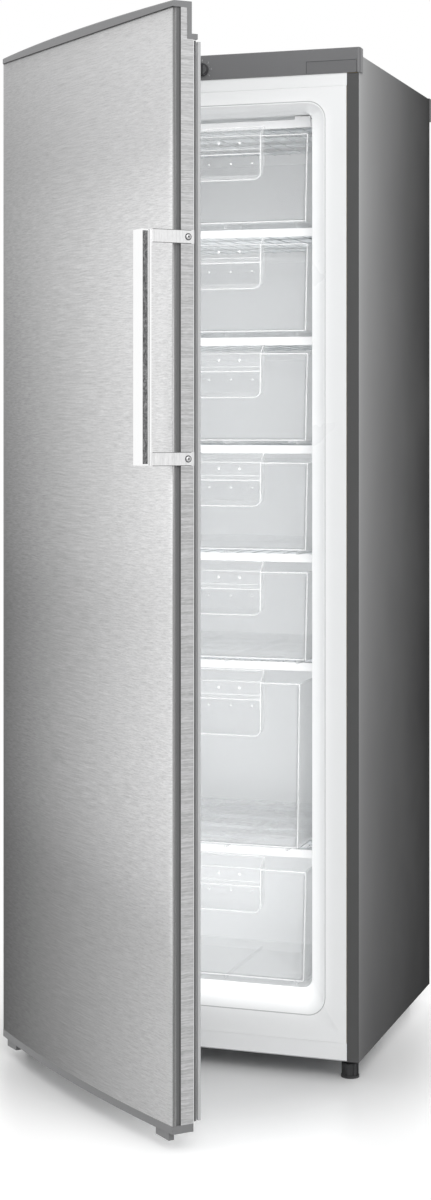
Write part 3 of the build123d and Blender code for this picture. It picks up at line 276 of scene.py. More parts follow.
class Shader(NodeTree):
    """One node material under construction, with its Principled shader at hand."""

    noise_run = (0.3, 0.7)

    def __init__(self, name: str) -> None:
        """Start an empty material.

        Args:
            name: Name of the material.
        """
        self.material = bpy.data.materials.new(name)
        self.material.use_nodes = True
        super().__init__(self.material.node_tree)
        self.tree.nodes.clear()
        self.sink = self.tree.nodes.new("ShaderNodeOutputMaterial")
        self.principled = self.tree.nodes.new("ShaderNodeBsdfPrincipled")
        self.body = self.principled.outputs[0]
        self.put(self.sink.inputs["Surface"], self.body)

    def set(self, **values: object) -> None:
        """Fill inputs of the Principled shader; an underscore in a name stands for a space."""
        for label, value in values.items():
            self.put(self.principled.inputs[label.replace("_", " ")], value)

    def fade(self, share: Socket, first: Socket, second: Socket) -> None:
        """Show a mix of two shaders as the material's surface.

        Args:
            share: Share of the second.
            first: Shader at 0.
            second: Shader at 1.
        """
        blend = self.node("ShaderNodeMixShader", (share, first, second))
        self.put(self.sink.inputs["Surface"], blend[0])

    def coordinate(self, label: str) -> Socket:
        """Return one output of a texture coordinate node."""
        return self.node("ShaderNodeTexCoord")[label]

    def place(self, turn: Colour = (0.0, 0.0, 0.0)) -> Socket:
        """Return object coordinates, turned about the three axes.

        Args:
            turn: Angles in degrees.

        Returns:
            The coordinates' socket.
        """
        plain = self.coordinate("Object")
        if not any(turn):
            return plain
        angles = [math.radians(angle) for angle in turn]
        return self.node("ShaderNodeMapping", {"Vector": plain, "Rotation": angles})[0]

    def effect(self, tree: bpy.types.NodeTree, vector: Socket, **values: float) -> Outputs:
        """Place a shared effect.

        Args:
            tree: The effect's group.
            vector: Coordinates for it.
            **values: Its number inputs by name.

        Returns:
            The group node's outputs.
        """
        return self.node("ShaderNodeGroup", {"Vector": vector, **values}, node_tree=tree)

    def grain(self, vector: Socket, along: float, across: float, waver: float) -> Outputs:
        """Place the brushed grain.

        Args:
            vector: Coordinates.
            along: Frequency along the streaks.
            across: Frequency across them.
            waver: How much they waver.

        Returns:
            Its Streak and its Height.
        """
        return self.effect(EFFECTS.grain, vector, Along=along, Across=across, Waver=waver)

    def mix(self, share: object, first: object, second: object, kind: str = "MIX") -> Socket:
        """Return two colours mixed.

        Args:
            share: Number or socket from 0 to 1.
            first: Colour or socket at 0.
            second: Colour or socket at 1.
            kind: Blender's name of the blend.

        Returns:
            The mixed colour.
        """
        ends = ((*colour, 1.0) if isinstance(colour, tuple) else colour for colour in (first, second))
        inputs = dict(zip((0, 6, 7), (share, *ends)))
        return self.node("ShaderNodeMix", inputs, data_type="RGBA", blend_type=kind)[2]

    def span(self, value: Socket, low: float, high: float) -> Socket:
        """Return a noise, stretched from its usual run to low..high."""
        return self.stretch(value, self.noise_run, (low, high))

    def bump(self, height: Socket, depth: float) -> None:
        """Feed the Principled normal from a height.

        Args:
            height: Height socket, about 0 to 1.
            depth: Metres that a height of 1 stands for.
        """
        inputs = {"Strength": 1.0, "Distance": depth, "Height": height}
        self.set(Normal=self.node("ShaderNodeBump", inputs)[0])


# ---------------------------------------------------------------- finishes


def scaled(colour: Colour, factor: float) -> Colour:
    """Return a colour made lighter or darker."""
    return tuple(min(1.0, part * factor) for part in colour)


def grey(value: float) -> Colour:
    """Return a plain grey."""
    return (value,) * 3


@dataclass(frozen=True)
class BrushedMetal:
    """Brushed or drawn metal with short streaks."""

    name: str
    colour: Colour
    roughness: float
    contrast: float
    along: float
    across: float
    waver: float
    turn: Colour = (0.0, 0.0, 0.0)
    gloss_run: float = 0.05
    depth: float = 0.00003

    def material(self) -> bpy.types.Material:
        """Build the finish.

        Returns:
            Its material.
        """
        shader = Shader(self.name)
        place = shader.place(self.turn)
        grain = shader.grain(place, self.along, self.across, self.waver)
        low, high = (scaled(self.colour, 1 + side * self.contrast) for side in (-1, 1))
        rough = (self.roughness + self.gloss_run, self.roughness - self.gloss_run)
        shader.set(
            Base_Color=shader.mix(shader.span(grain["Streak"], 0.0, 1.0), low, high),
            Roughness=shader.span(grain["Streak"], *rough),
            Metallic=1.0,
        )
        shader.bump(grain["Height"], self.depth)
        return shader.material


@dataclass(frozen=True)
class DoorSteel:
    """Brushed steel of the bowed front, with painted sheen and shade in its colour: darker towards the hinge
    and the floor.
    """

    name: str = "door_brushed_steel"
    # Painted sheen and shade of the bowed front: stops up the door, with colours for its hinge side and its
    # free side.
    stops: tuple[float, ...] = (0.15, 0.25, 0.42, 0.6, 0.78, 0.94)
    hinge: tuple[float, ...] = (0.07, 0.1, 0.135, 0.19, 0.26, 0.48)
    free: tuple[float, ...] = (1.0, 1.0, 0.86, 0.74, 0.88, 1.0)
    cool: float = 1.004
    hinge_x: float = -0.02
    free_x: float = 0.58
    top: float = 1.69
    along: float = 24.0
    across: float = 640.0
    waver: float = 0.24
    rough: Pair = (0.42, 0.32)
    tints: Pair = (0.76, 1.144)
    # Painted shade on the sideways face of the fold at the free edge: its colour, and where it starts and
    # ends.
    fold: float = 0.42
    fold_shade_run: Pair = (0.3, 0.8)
    depth: float = 0.00004

    def material(self) -> bpy.types.Material:
        """Build the finish.

        Returns:
            Its material.
        """
        shader = Shader(self.name)
        place = shader.place((0.0, 0.0, DOOR.opened))
        turn = Matrix.Rotation(math.radians(DOOR.opened), 4, "Z")
        pin = (turn @ Vector((DOOR.pin_x, DOOR.pin_y, 0.0))).x * MM
        across = shader.effect(EFFECTS.fade, place, Start=pin + self.hinge_x, End=pin + self.free_x)
        height = shader.effect(EFFECTS.fade, shader.place(UPRIGHT), Start=0.0, End=self.top)
        # Painted sheen and shade: dark at the hinge and low down, light towards the free edge.
        hinge, free = (self._painted_sheen_column(shader, height[0], values) for values in (self.hinge, self.free))
        base = shader.mix(across[0], hinge, free)
        grain = shader.grain(place, self.along, self.across, self.waver)
        tint = shader.mix(shader.span(grain["Streak"], 0.0, 1.0), *(grey(value) for value in self.tints))
        # Painted shade: the fold at the free edge, facing sideways, is darkened in colour.
        folded = shader.mix(self._fold_shade_share(shader), WHITE, grey(self.fold))
        front = shader.mix(1.0, base, tint, "MULTIPLY")
        shader.set(
            Base_Color=shader.mix(1.0, front, folded, "MULTIPLY"),
            Roughness=shader.span(grain["Streak"], *self.rough),
            Metallic=1.0,
        )
        shader.bump(grain["Height"], self.depth)
        return shader.material

    def _painted_sheen_column(self, shader: Shader, height: Socket, values: tuple[float, ...]) -> Socket:
        """Return the painted sheen and shade up one side of the door.

        Args:
            shader: The material.
            height: Height from 0 to 1.
            values: Painted sheen and shade at each of the stops.

        Returns:
            The colour's socket.
        """
        node = shader.tree.nodes.new("ShaderNodeValToRGB")
        node.color_ramp.interpolation = "B_SPLINE"
        marks = node.color_ramp.elements
        while len(marks) < len(self.stops):
            marks.new(0.5)
        for mark, stop in zip(marks, self.stops):
            mark.position = stop
        for mark, value in zip(marks, values):
            mark.color = (value, value, value * self.cool, 1.0)
        shader.put(node.inputs[0], height)
        return node.outputs[0]

    def _fold_shade_share(self, shader: Shader) -> Socket:
        """Return where the sheet is folded back at the free edge, which takes the painted shade.

        Args:
            shader: The material.

        Returns:
            The share's socket: 1 on the fold, 0 on the front.
        """
        angle = math.radians(DOOR.opened)
        inputs = (shader.coordinate("Normal"), (math.cos(angle), -math.sin(angle), 0.0))
        across = shader.node("ShaderNodeVectorMath", inputs, operation="DOT_PRODUCT")
        return shader.stretch(across["Value"], self.fold_shade_run, kind="SMOOTHSTEP")


@dataclass(frozen=True)
class Moulded:
    """Moulded plastic, rubber or sprayed paint with a fine skin and slow patches of gloss."""

    name: str
    colour: Colour
    roughness: float = 0.4
    scale: float = 900.0
    depth: float = 0.00004
    spread: float = 0.06
    shade: float = 0.06
    coat: float = 0.0
    patches: float = 7.0
    coat_roughness: float = 0.15

    def material(self) -> bpy.types.Material:
        """Build the finish.

        Returns:
            Its material.
        """
        shader = Shader(self.name)
        place = shader.place()
        skin = shader.effect(EFFECTS.pebble, place, Scale=self.scale)[0]
        cloud = shader.effect(EFFECTS.patches, place, Scale=self.patches)[0]
        grainy = shader.mix(shader.span(skin, 0.0, 1.0), scaled(self.colour, 1 - self.shade), self.colour)
        slow = shader.mix(shader.span(cloud, 0.0, 1.0), grey(1 - self.shade / 2), WHITE)
        shader.set(
            Base_Color=shader.mix(1.0, grainy, slow, "MULTIPLY"),
            Roughness=shader.span(cloud, self.roughness - self.spread, self.roughness + self.spread),
            Coat_Weight=self.coat,
            Coat_Roughness=self.coat_roughness,
        )
        shader.bump(skin, self.depth)
        return shader.material


@dataclass(frozen=True)
class ShellPaint:
    """Dark cabinet paint; painted light and shade make its sides lighter towards the front and the top."""

    name: str = "cabinet_paint"
    colour: Colour = (0.1, 0.1, 0.1)
    # The side colours below are painted light and shade on the side panels: front and rear, high and low.
    side_front: Colour = (0.5, 0.502, 0.505)
    side_rear: Colour = (0.014, 0.014, 0.0144)
    foot_front: Colour = (0.17, 0.17, 0.172)
    foot_rear: Colour = (0.008, 0.008, 0.0084)
    front_y: float = -0.042
    rear_y: float = 0.5
    top: float = 1.669
    fall: float = 0.5
    skin: float = 1500.0
    flake: float = 0.9
    patches: float = 5.0
    rough: Pair = (0.5, 0.6)
    shine: float = 0.04
    depth: float = 0.00002

    def material(self) -> bpy.types.Material:
        """Build the finish.

        Returns:
            Its material.
        """
        shader = Shader(self.name)
        normal = shader.node("ShaderNodeSeparateXYZ", (shader.coordinate("Normal"),))
        side = shader.math("ABSOLUTE", normal["X"])
        along, upright = (shader.place(turn) for turn in ((0.0, 0.0, -90.0), UPRIGHT))
        depth = shader.effect(EFFECTS.fade, along, Start=self.front_y, End=self.rear_y)
        height = shader.effect(EFFECTS.fade, upright, Start=0.0, End=self.top)
        # Painted light and shade: the sides lit towards the front and the top, shaded towards the rear and
        # the floor.
        fall = shader.math("POWER", depth[0], self.fall)
        high = shader.mix(fall, self.side_front, self.side_rear)
        low = shader.mix(fall, self.foot_front, self.foot_rear)
        base = shader.mix(side, self.colour, shader.mix(height[0], low, high))
        skin = shader.effect(EFFECTS.pebble, shader.place(), Scale=self.skin)[0]
        flake = shader.mix(shader.span(skin, 0.0, 1.0), grey(self.flake), WHITE)
        cloud = shader.effect(EFFECTS.patches, shader.place(), Scale=self.patches)[0]
        shader.set(
            Base_Color=shader.mix(1.0, base, flake, "MULTIPLY"),
            Roughness=shader.span(cloud, *self.rough),
            Specular_IOR_Level=self.shine,
        )
        shader.bump(skin, self.depth)
        return shader.material


@dataclass(frozen=True)
class ClearPlastic:
    """Clear moulded plastic: light passes straight through, and edges and slanting faces show pale."""

    name: str = "clear_plastic"
    body: float = 0.05
    rim: float = 0.8
    colour: Colour = (0.95, 0.955, 0.957)
    shade: float = 0.96
    tint: Colour = (0.974, 0.975, 0.976)
    rough: Pair = (0.06, 0.12)
    patches: float = 14.0
    ripple: float = 90.0
    depth: float = 0.0001
    facing: float = 0.32
    veil_run: Pair = (0.35, 1.0)

    def material(self) -> bpy.types.Material:
        """Build the finish.

        Returns:
            Its material.
        """
        shader = Shader(self.name)
        place = shader.place()
        cloud = shader.effect(EFFECTS.patches, place, Scale=self.patches)[0]
        shader.set(
            Base_Color=shader.mix(shader.span(cloud, 0.0, 1.0), scaled(self.colour, self.shade), self.colour),
            Roughness=shader.span(cloud, *self.rough),
        )
        shader.bump(shader.effect(EFFECTS.pebble, place, Scale=self.ripple)[0], self.depth)
        facing = shader.node("ShaderNodeLayerWeight", {"Blend": self.facing})["Facing"]
        veil = shader.stretch(facing, self.veil_run, (self.body, self.rim))
        path = shader.node("ShaderNodeLightPath")
        straight = shader.math("MAXIMUM", path["Is Shadow Ray"], path["Is Diffuse Ray"])
        through = shader.node("ShaderNodeBsdfTransparent", ((*self.tint, 1.0),))[0]
        shader.fade(shader.math("SUBTRACT", veil, straight, clamp=True), through, shader.body)
        return shader.material


@dataclass(frozen=True)
class MarbledInlay:
    """Dark glossy strip with soft light veins along its length."""

    name: str = "handle_inlay"
    dark: Colour = (0.012, 0.012, 0.013)
    light: Colour = (0.3, 0.3, 0.305)
    blotches: Colour = (260.0, 260.0, 1.2)
    veins: Colour = (110.0, 420.0, 0.9)
    vein_run: Pair = (-0.15, 1.3)
    grain_run: Pair = (0.2, 1.0)
    rough: Pair = (0.2, 0.32)
    coat: float = 0.5
    depth: float = 0.00006

    def material(self) -> bpy.types.Material:
        """Build the finish.

        Returns:
            Its material.
        """
        shader = Shader(self.name)
        across, upright = (shader.place(turn) for turn in ((90.0, 0.0, 0.0), UPRIGHT))
        grain = shader.grain(across, *self.blotches)["Streak"]
        vein = shader.grain(upright, *self.veins)
        parts = (shader.span(vein["Streak"], *self.vein_run), shader.span(grain, *self.grain_run))
        shader.set(
            Base_Color=shader.mix(shader.math("MULTIPLY", *parts, clamp=True), self.dark, self.light),
            Roughness=shader.span(grain, *self.rough),
            Coat_Weight=self.coat,
        )
        shader.bump(vein["Height"], self.depth)
        return shader.material


EDGE_TURN = (0.0, 0.0, DOOR.opened - 90.0)
PLASTIC = (1300.0, 0.00006, 0.05, 0.1)
KNOB = (0.35, 1500.0, 0.00004, 0.05, 0.12)
FINISHES = {
    "cabinet_paint": ShellPaint(),
    "foam": Moulded("foam", (0.62, 0.5, 0.26), 0.85, 420.0, 0.0005, 0.05, 0.25),
    "white_plastic": Moulded("white_liner", (0.86, 0.868, 0.872), 0.3, 260.0, 0.00003, 0.03, 0.008, 0.2),
    "white_paint": Moulded("white_paint", (0.84, 0.848, 0.852), 0.34, 1100.0, 0.00002, 0.04, 0.008),
    "zinc_steel": BrushedMetal("zinc_sheet", (0.5, 0.51, 0.52), 0.42, 0.12, 12.0, 60.0, 1.5),
    "dark_plastic": Moulded("dark_plastic", (0.155, 0.156, 0.16), 0.42, *PLASTIC),
    "cover_plastic": Moulded("cover_plastic", (0.14, 0.141, 0.145), 0.4, *PLASTIC),
    "thermostat_plastic": Moulded("thermostat_plastic", (0.8, 0.8, 0.78), 0.5),
    "knob_plastic": Moulded("knob_plastic", (0.03, 0.03, 0.033), *KNOB),
    "evaporator_tube": Moulded("evaporator_coating", (0.74, 0.765, 0.78), 0.36, 700.0, 0.00005, 0.06, 0.05),
    "clear_plastic": ClearPlastic(),
    "door_steel": DoorSteel(),
    "edge_dark": Moulded("edge_strip", (0.14, 0.141, 0.143), 0.45, 1200.0, 0.00005, 0.05, 0.12),
    "side_steel": BrushedMetal("side_sheet", (0.53, 0.53, 0.533), 0.36, 0.3, 20.0, 420.0, 0.1, EDGE_TURN),
    "gasket_rubber": Moulded("gasket", (0.5, 0.505, 0.51), 0.6, 800.0, 0.00008, 0.06, 0.08),
    "handle_chrome": BrushedMetal(
        "handle_chrome", (0.975, 0.978, 0.98), 0.1, 0.02, 60.0, 700.0, 0.4, UPRIGHT
    ),
    "handle_inlay_dark": MarbledInlay(),
    "handle_steel": BrushedMetal("bracket_steel", (0.8, 0.8, 0.803), 0.3, 0.14, 24.0, 420.0, 0.2, UPRIGHT),
    "screw_steel": BrushedMetal("screw_steel", (0.62, 0.62, 0.625), 0.28, 0.08, 300.0, 900.0, 0.3),
    "hinge_steel": Moulded("hinge_paint", (0.06, 0.06, 0.063), 0.4, 900.0, 0.00005, 0.06, 0.12),
    "bush_plastic": Moulded("bush_plastic", (0.76, 0.76, 0.75), 0.45),
    "foot_plastic": Moulded("foot_plastic", (0.035, 0.035, 0.037), 0.5, 1000.0, 0.00006, 0.06, 0.15),
    "roller_plastic": Moulded("roller_plastic", (0.06, 0.06, 0.062), 0.48, 1000.0, 0.00006, 0.06, 0.15),
    "compressor_paint": Moulded(
        "compressor_paint", (0.012, 0.012, 0.013), 0.2, 500.0, 0.00006, 0.05, 0.2, 0.6
    ),
    "mount_rubber": Moulded("mount_rubber", (0.025, 0.025, 0.025), 0.65, 800.0, 0.00008, 0.05, 0.2),
    "black_plastic": Moulded("black_plastic", (0.03, 0.03, 0.032), 0.45, 1100.0, 0.00006, 0.06, 0.15),
    "copper": BrushedMetal("copper", (0.72, 0.4, 0.26), 0.3, 0.12, 90.0, 300.0, 1.0, UPRIGHT),
    "condenser_paint": Moulded(
        "condenser_paint", (0.018, 0.018, 0.019), 0.34, 700.0, 0.00006, 0.06, 0.2, 0.3
    ),
    # Below: finishes of pieces and nodes that don't take the one of their slot.
    "dial_print": Moulded("dial_print", (0.55, 0.56, 0.57), 0.5),
    # Painted light: a lighter copy of the fascia's dark plastic, for both door caps.
    "lit_cap_plastic": Moulded("lit_cap_plastic", (0.21, 0.211, 0.215), 0.4, *PLASTIC),
    # Dark seam colour: painted shadow in the door's seams and round the handle's parts, and the dark joint
    # round the fascia's cover.
    "seam_dark": Moulded("seam_shadow", (0.045, 0.045, 0.047), 0.6, 900.0, 0.00005, 0.05, 0.15),
    # Grey painted shade in the crease round the liner's mouth.
    "mouth_crease_shade": Moulded("mouth_crease_shade", (0.5, 0.505, 0.51), 0.5, 400.0, 0.00003, 0.05, 0.05),
    # Moulded edges of the drawers in a paler, less clear plastic: a painted highlight along them.
    "bead_plastic": ClearPlastic("bead_plastic", 0.36, 0.92),
    # Painted shade: a darker copy of the white liner plastic, for the shelf trims near the mouth lamp.
    "shaded_trim_plastic": Moulded("shaded_trim_plastic", (0.74, 0.745, 0.75), 0.36, 600.0, 0.00003, 0.04, 0.03),
    # Painted shade: thin dark lines along the drawers' front walls.
    "drawer_shade_line": Moulded("drawer_shade_line", (0.3, 0.305, 0.31), 0.3, 900.0, 0.00003, 0.05, 0.1),
    "knob_face": Moulded("knob_face", (0.11, 0.111, 0.115), *KNOB),
}
NODE_FINISHES = {
    "door_top_cap": "lit_cap_plastic",
    "door_bottom_cap": "lit_cap_plastic",
    "shelf_trims": "shaded_trim_plastic",
}
PALETTE = {name: finish.material() for name, finish in FINISHES.items()}


# ---------------------------------------------------------------- workshop


def shading_group() -> bpy.types.NodeTree:
    """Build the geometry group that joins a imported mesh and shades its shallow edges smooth.

    Returns:
        The group.
    """
    group = NodeTree(bpy.data.node_groups.new("SoftShading", "GeometryNodeTree"))
    for direction in ("INPUT", "OUTPUT"):
        group.tree.interface.new_socket("Geometry", in_out=direction, socket_type="NodeSocketGeometry")
    inputs = {"Geometry": group.node("NodeGroupInput")[0], "Distance": JOIN}
    merged = group.node("GeometryNodeMergeByDistance", inputs)[0]
    smooth = group.node("GeometryNodeSetShadeSmooth", {"Geometry": merged}, domain="FACE")[0]
    angle = group.node("GeometryNodeInputMeshEdgeAngle")["Unsigned Angle"]
    steep = group.node("FunctionNodeCompare", (angle, SHARP), data_type="FLOAT", operation="GREATER_THAN")[0]
    inputs = {"Geometry": smooth, "Selection": steep, "Shade Smooth": False}
    group.node("NodeGroupOutput", (group.node("GeometryNodeSetShadeSmooth", inputs, domain="EDGE")[0],))
    return group.tree


class Workshop:
    """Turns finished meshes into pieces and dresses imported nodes."""

    def __init__(self) -> None:
        """Build what the pieces share."""
        self.shading = shading_group()

    def piece(
        self,
        mesh: Mesh,
        name: str,
        body: str,
        slot: str,
        place: Matrix | None = None,
        replaces: tuple[str, ...] = (),
        finish: str = "",
        crease: float = 35.0,
        close: bool = True,
    ) -> bpy.types.Object:
        """Make a piece of a mesh in millimetres.

        Args:
            mesh: The finished mesh, freed here.
            name: Name of the piece.
            body: CAD body that it rides on.
            slot: The record's material slot.
            place: Where its own axes stand, in millimetres, or None for the door's or the cabinet's.
            replaces: CAD nodes that it stands for.
            finish: Another finish than the slot's.
            crease: Edges steeper than this, in degrees, stay sharp.
            close: Whether the normals are recalculated.

        Returns:
            The piece.
        """
        if place is None:
            place = DOOR.matrix() if body == Body.DOOR.value else cabinet_place()
        bmesh.ops.transform(mesh, matrix=Matrix.Scale(MM, 4) @ place, verts=mesh.verts)
        if close:
            bmesh.ops.recalc_face_normals(mesh, faces=mesh.faces)
        limit = math.radians(crease)
        for face in mesh.faces:
            face.smooth = True
        for edge in mesh.edges:
            edge.smooth = edge.calc_face_angle(0.0) < limit
        obj = add_object(name, mesh_data(name, mesh))
        obj.data.materials.append(PALETTE[finish or slot])
        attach(obj, body)
        if replaces:
            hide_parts(*replaces)
        LOG.info("piece %s on %s, %d faces", name, body, len(obj.data.polygons))
        return obj

    def dress(self, node: str, slot: str) -> None:
        """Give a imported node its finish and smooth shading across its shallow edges.

        Args:
            node: CAD node.
            slot: The record's material slot.
        """
        obj = frame["nodes"][node]
        obj.data.materials.clear()
        obj.data.materials.append(PALETTE[NODE_FINISHES.get(node, slot)])
        obj.modifiers.new("SoftShading", "NODES").node_group = self.shading
        LOG.info("node %s takes %s", node, slot)

    def dress_all(self) -> None:
        """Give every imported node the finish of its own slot."""
        for part in frame["record"]["subparts"]:
            self.dress(part["node"], part["material_slot"])


WORKSHOP = Workshop()


def mesh_data(name: str, mesh: Mesh) -> bpy.types.Mesh:
    """Return mesh data made of a mesh, which is freed.

    Args:
        name: Name of the data.
        mesh: The mesh.

    Returns:
        The data.
    """
    data = bpy.data.meshes.new(name)
    mesh.to_mesh(data)
    mesh.free()
    return data


def add_object(name: str, data: bpy.types.ID) -> bpy.types.Object:
    """Put a mesh, a lamp or a camera into the scene.

    Args:
        name: Name of the object.
        data: Its data.

    Returns:
        The object.
    """
    obj = bpy.data.objects.new(name, data)
    bpy.context.scene.collection.objects.link(obj)
    return obj


def thicken(obj: bpy.types.Object, thickness: float, offset: float) -> None:
    """Give a sheet its thickness.

    Args:
        obj: The sheet.
        thickness: In millimetres.
        offset: -1 for inwards, 0 for both ways.
    """
    wall = obj.modifiers.new("Sheet", "SOLIDIFY")
    wall.thickness = thickness * MM
    wall.offset = offset


def only(items: list, kind: type) -> list:
    """Return the items of one kind."""
    return [item for item in items if isinstance(item, kind)]


def circle(mesh: Mesh, radius: float, sides: int, place: Matrix) -> list:
    """Add an open circle.

    Args:
        mesh: The mesh.
        radius: Radius.
        sides: Sides.
        place: Where it stands, its axis along z.

    Returns:
        Its edges.
    """
    made = bmesh.ops.create_circle(mesh, cap_ends=False, radius=radius, segments=sides, matrix=place)
    return list(dict.fromkeys(edge for vert in made["verts"] for edge in vert.link_edges))


def verts_of(ring: list) -> list:
    """Return the corners of a ring of edges, each once."""
    return list(dict.fromkeys(vert for edge in ring for vert in edge.verts))


def extrude_ring(mesh: Mesh, ring: list, step: Vector) -> list:
    """Extrude a ring of edges and return the new ring.

    Args:
        mesh: The mesh.
        ring: Edges of the open end.
        step: How far the new end moves.

    Returns:
        The edges of the new end.
    """
    made = bmesh.ops.extrude_edge_only(mesh, edges=ring)["geom"]
    verts = only(made, bmesh.types.BMVert)
    bmesh.ops.translate(mesh, vec=step, verts=verts)
    return [edge for edge in only(made, bmesh.types.BMEdge) if all(vert in verts for vert in edge.verts)]


def swing(mesh: Mesh, geom: list, centre: Vector, angle: float, steps: int) -> list:
    """Spin geometry about an upright axis.

    Args:
        mesh: The mesh.
        geom: Corners and edges to spin.
        centre: A place on the axis.
        angle: Angle in radians.
        steps: Steps.

    Returns:
        The last copy.
    """
    return bmesh.ops.spin(
        mesh,
        geom=geom,
        cent=centre,
        axis=(0, 0, 1),
        dvec=(0, 0, 0),
        angle=angle,
        steps=steps,
        use_merge=False,
        use_normal_flip=False,
        use_duplicate=False,
    )["geom_last"]


def close_ends(mesh: Mesh, *rings: list) -> None:
    """Fill open rings of edges."""
    for ring in rings:
        bmesh.ops.contextual_create(mesh, geom=ring)


def round_bar(mesh: Mesh, start: Vector, step: Vector, radius: float, sides: int) -> None:
    """Add a closed round bar.

    Args:
        mesh: The mesh.
        start: Middle of its first end.
        step: From its first end to its last.
        radius: Radius.
        sides: Sides of its section.
    """
    turn = Vector((0.0, 0.0, 1.0)).rotation_difference(step).to_matrix().to_4x4()
    ring = circle(mesh, radius, sides, Matrix.Translation(start) @ turn)
    close_ends(mesh, ring, extrude_ring(mesh, ring, step))


def box(mesh: Mesh, place: Matrix, size: Colour) -> None:
    """Add a box by the place of its middle and its three sizes."""
    bmesh.ops.create_cube(mesh, size=1.0, matrix=place @ Matrix.Diagonal((*size, 1.0)))


def pour(mesh: Mesh, curve: bpy.types.Curve, place: Matrix | None = None) -> None:
    """Make a curve a mesh, add it and remove the curve.

    Args:
        mesh: The mesh that takes it.
        curve: The curve or the number.
        place: Where it stands, once it is a mesh.
    """
    holder = bpy.data.objects.new(curve.name, curve)
    data = bpy.data.meshes.new_from_object(holder)
    before = set(mesh.verts)
    mesh.from_mesh(data)
    if place:
        bmesh.ops.transform(mesh, matrix=place, verts=[vert for vert in mesh.verts if vert not in before])
    bpy.data.meshes.remove(data)
    bpy.data.objects.remove(holder)
    bpy.data.curves.remove(curve)


def bead(mesh: Mesh, points: list[Colour], radius: float, closed: bool = False) -> None:
    """Add a thin round bead along points.

    Args:
        mesh: The mesh.
        points: Places it runs through, in millimetres.
        radius: Radius.
        closed: Whether it runs back to its start.
    """
    curve = bpy.data.curves.new("bead", "CURVE")
    curve.dimensions = "3D"
    curve.bevel_depth = radius
    curve.bevel_resolution = 1
    curve.use_fill_caps = not closed
    spline = curve.splines.new("POLY")
    spline.points.add(len(points) - 1)
    spline.use_cyclic_u = closed
    for target, place in zip(spline.points, points):
        target.co = (*place, 1.0)
    pour(mesh, curve)


CORNER_STEPS = 8


def rounded_outline(half: float, low: float, high: float, radius: float) -> list[Pair]:
    """Return the outline of a rectangle with rounded corners, anticlockwise from its lower right corner.

    Args:
        half: Half its width.
        low: Its bottom.
        high: Its top.
        radius: Radius of its corners.

    Returns:
        Places across and up.
    """
    outline = []
    for x, z, start in ((half, low, -90.0), (half, high, 0.0), (-half, high, 90.0), (-half, low, 180.0)):
        centre_x = x + math.copysign(radius, -x)
        centre_z = z + (radius if z == low else -radius)
        for step in range(CORNER_STEPS + 1):
            angle = math.radians(start + 90.0 * step / CORNER_STEPS)
            outline.append((centre_x + radius * math.cos(angle), centre_z + radius * math.sin(angle)))
    return outline


@dataclass(frozen=True)
class Serpentine:
    """A tube bent to and fro: straight runs along x joined by half turns along y."""

    passes: int
    pitch: float
    straight: float
    radius: float
    sides: int = 10
    steps: int = 10

    def add(self, mesh: Mesh, start: Vector) -> None:
        """Add the tube.

        Args:
            mesh: The mesh.
            start: Middle of the first run, at its centre line.
        """
        begin = Matrix.Translation(start - Vector((self.straight, 0, 0)))
        first = ring = circle(mesh, self.radius, self.sides, begin @ QUARTER_Y)
        for number in range(self.passes):
            side = (1, -1)[number % 2]
            ring = extrude_ring(mesh, ring, Vector((side * 2 * self.straight, 0, 0)))
            if number < self.passes - 1:
                centre = start + Vector((side * self.straight, (number + 0.5) * self.pitch, 0))
                geom = swing(mesh, verts_of(ring) + ring, centre, side * HALF_TURN, self.steps)
                ring = only(geom, bmesh.types.BMEdge)
        close_ends(mesh, first, ring)


@dataclass(frozen=True)
class WireRow:
    """Straight wires along y, side by side across x."""

    half_span: float
    begin: float
    end: float
    radius: float = 0.75
    sides: int = 6

    def add(self, mesh: Mesh, count: int, height: float) -> None:
        """Add the row.

        Args:
            mesh: The mesh.
            count: How many wires.
            height: Height of their centre lines.
        """
        gap = 2 * self.half_span / (count - 1)
        for number in range(count):
            start = Vector((number * gap - self.half_span, self.begin, height))
            round_bar(mesh, start, Vector((0, self.end - self.begin, 0)), self.radius, self.sides)


# ---------------------------------------------------------------- sub-assemblies


@dataclass
class FreezingShelves:
    """Seven shelves of a bent tube between two rows of wires."""

    levels: tuple[float, ...] = (1576.0, 1395.0, 1214.0, 1033.0, 852.0, 671.0, 360.0)
    tube: Serpentine = Serpentine(5, 96.0, 150.0, 4.0)
    first_run: float = 68.6
    tube_drop: float = 5.52
    wires: WireRow = WireRow(206.0, 66.3, 457.6)
    rows: tuple[tuple[int, float], ...] = ((16, -0.75), (15, -10.29))

    def build(self) -> None:
        """Build the shelves."""
        for number, level in enumerate(self.levels, start=1):
            mesh = bmesh.new()
            self.tube.add(mesh, Vector((0, self.first_run, level - self.tube_drop)))
            for count, drop in self.rows:
                self.wires.add(mesh, count, level + drop)
            name, node = f"freezing_shelf_{number}", f"evaporator_shelf_{number}"
            cabinet = Body.CABINET.value
            WORKSHOP.piece(mesh, name, cabinet, "evaporator_tube", replaces=(node,), crease=70.0)


@dataclass
class Condenser:
    """Tube-and-wire condenser on the back."""

    depth: float = 558.0
    tube: Serpentine = Serpentine(9, 156.0, 150.0, 2.5)
    first_run: float = 300.0
    wires: WireRow = WireRow(190.0, 295.0, 1553.0)
    count: int = 13

    def build(self) -> None:
        """Build the condenser."""
        place = cabinet_place() @ Matrix.Translation((0, self.depth, 0)) @ QUARTER_X
        mesh = bmesh.new()
        self.tube.add(mesh, Vector((0, self.first_run, 0)))
        for side in (-1, 1):
            self.wires.add(mesh, self.count, side * (self.tube.radius + self.wires.radius))
        WORKSHOP.piece(
            mesh, "condenser_grid", Body.CABINET.value, "condenser_paint", place, ("condenser",), crease=70.0
        )


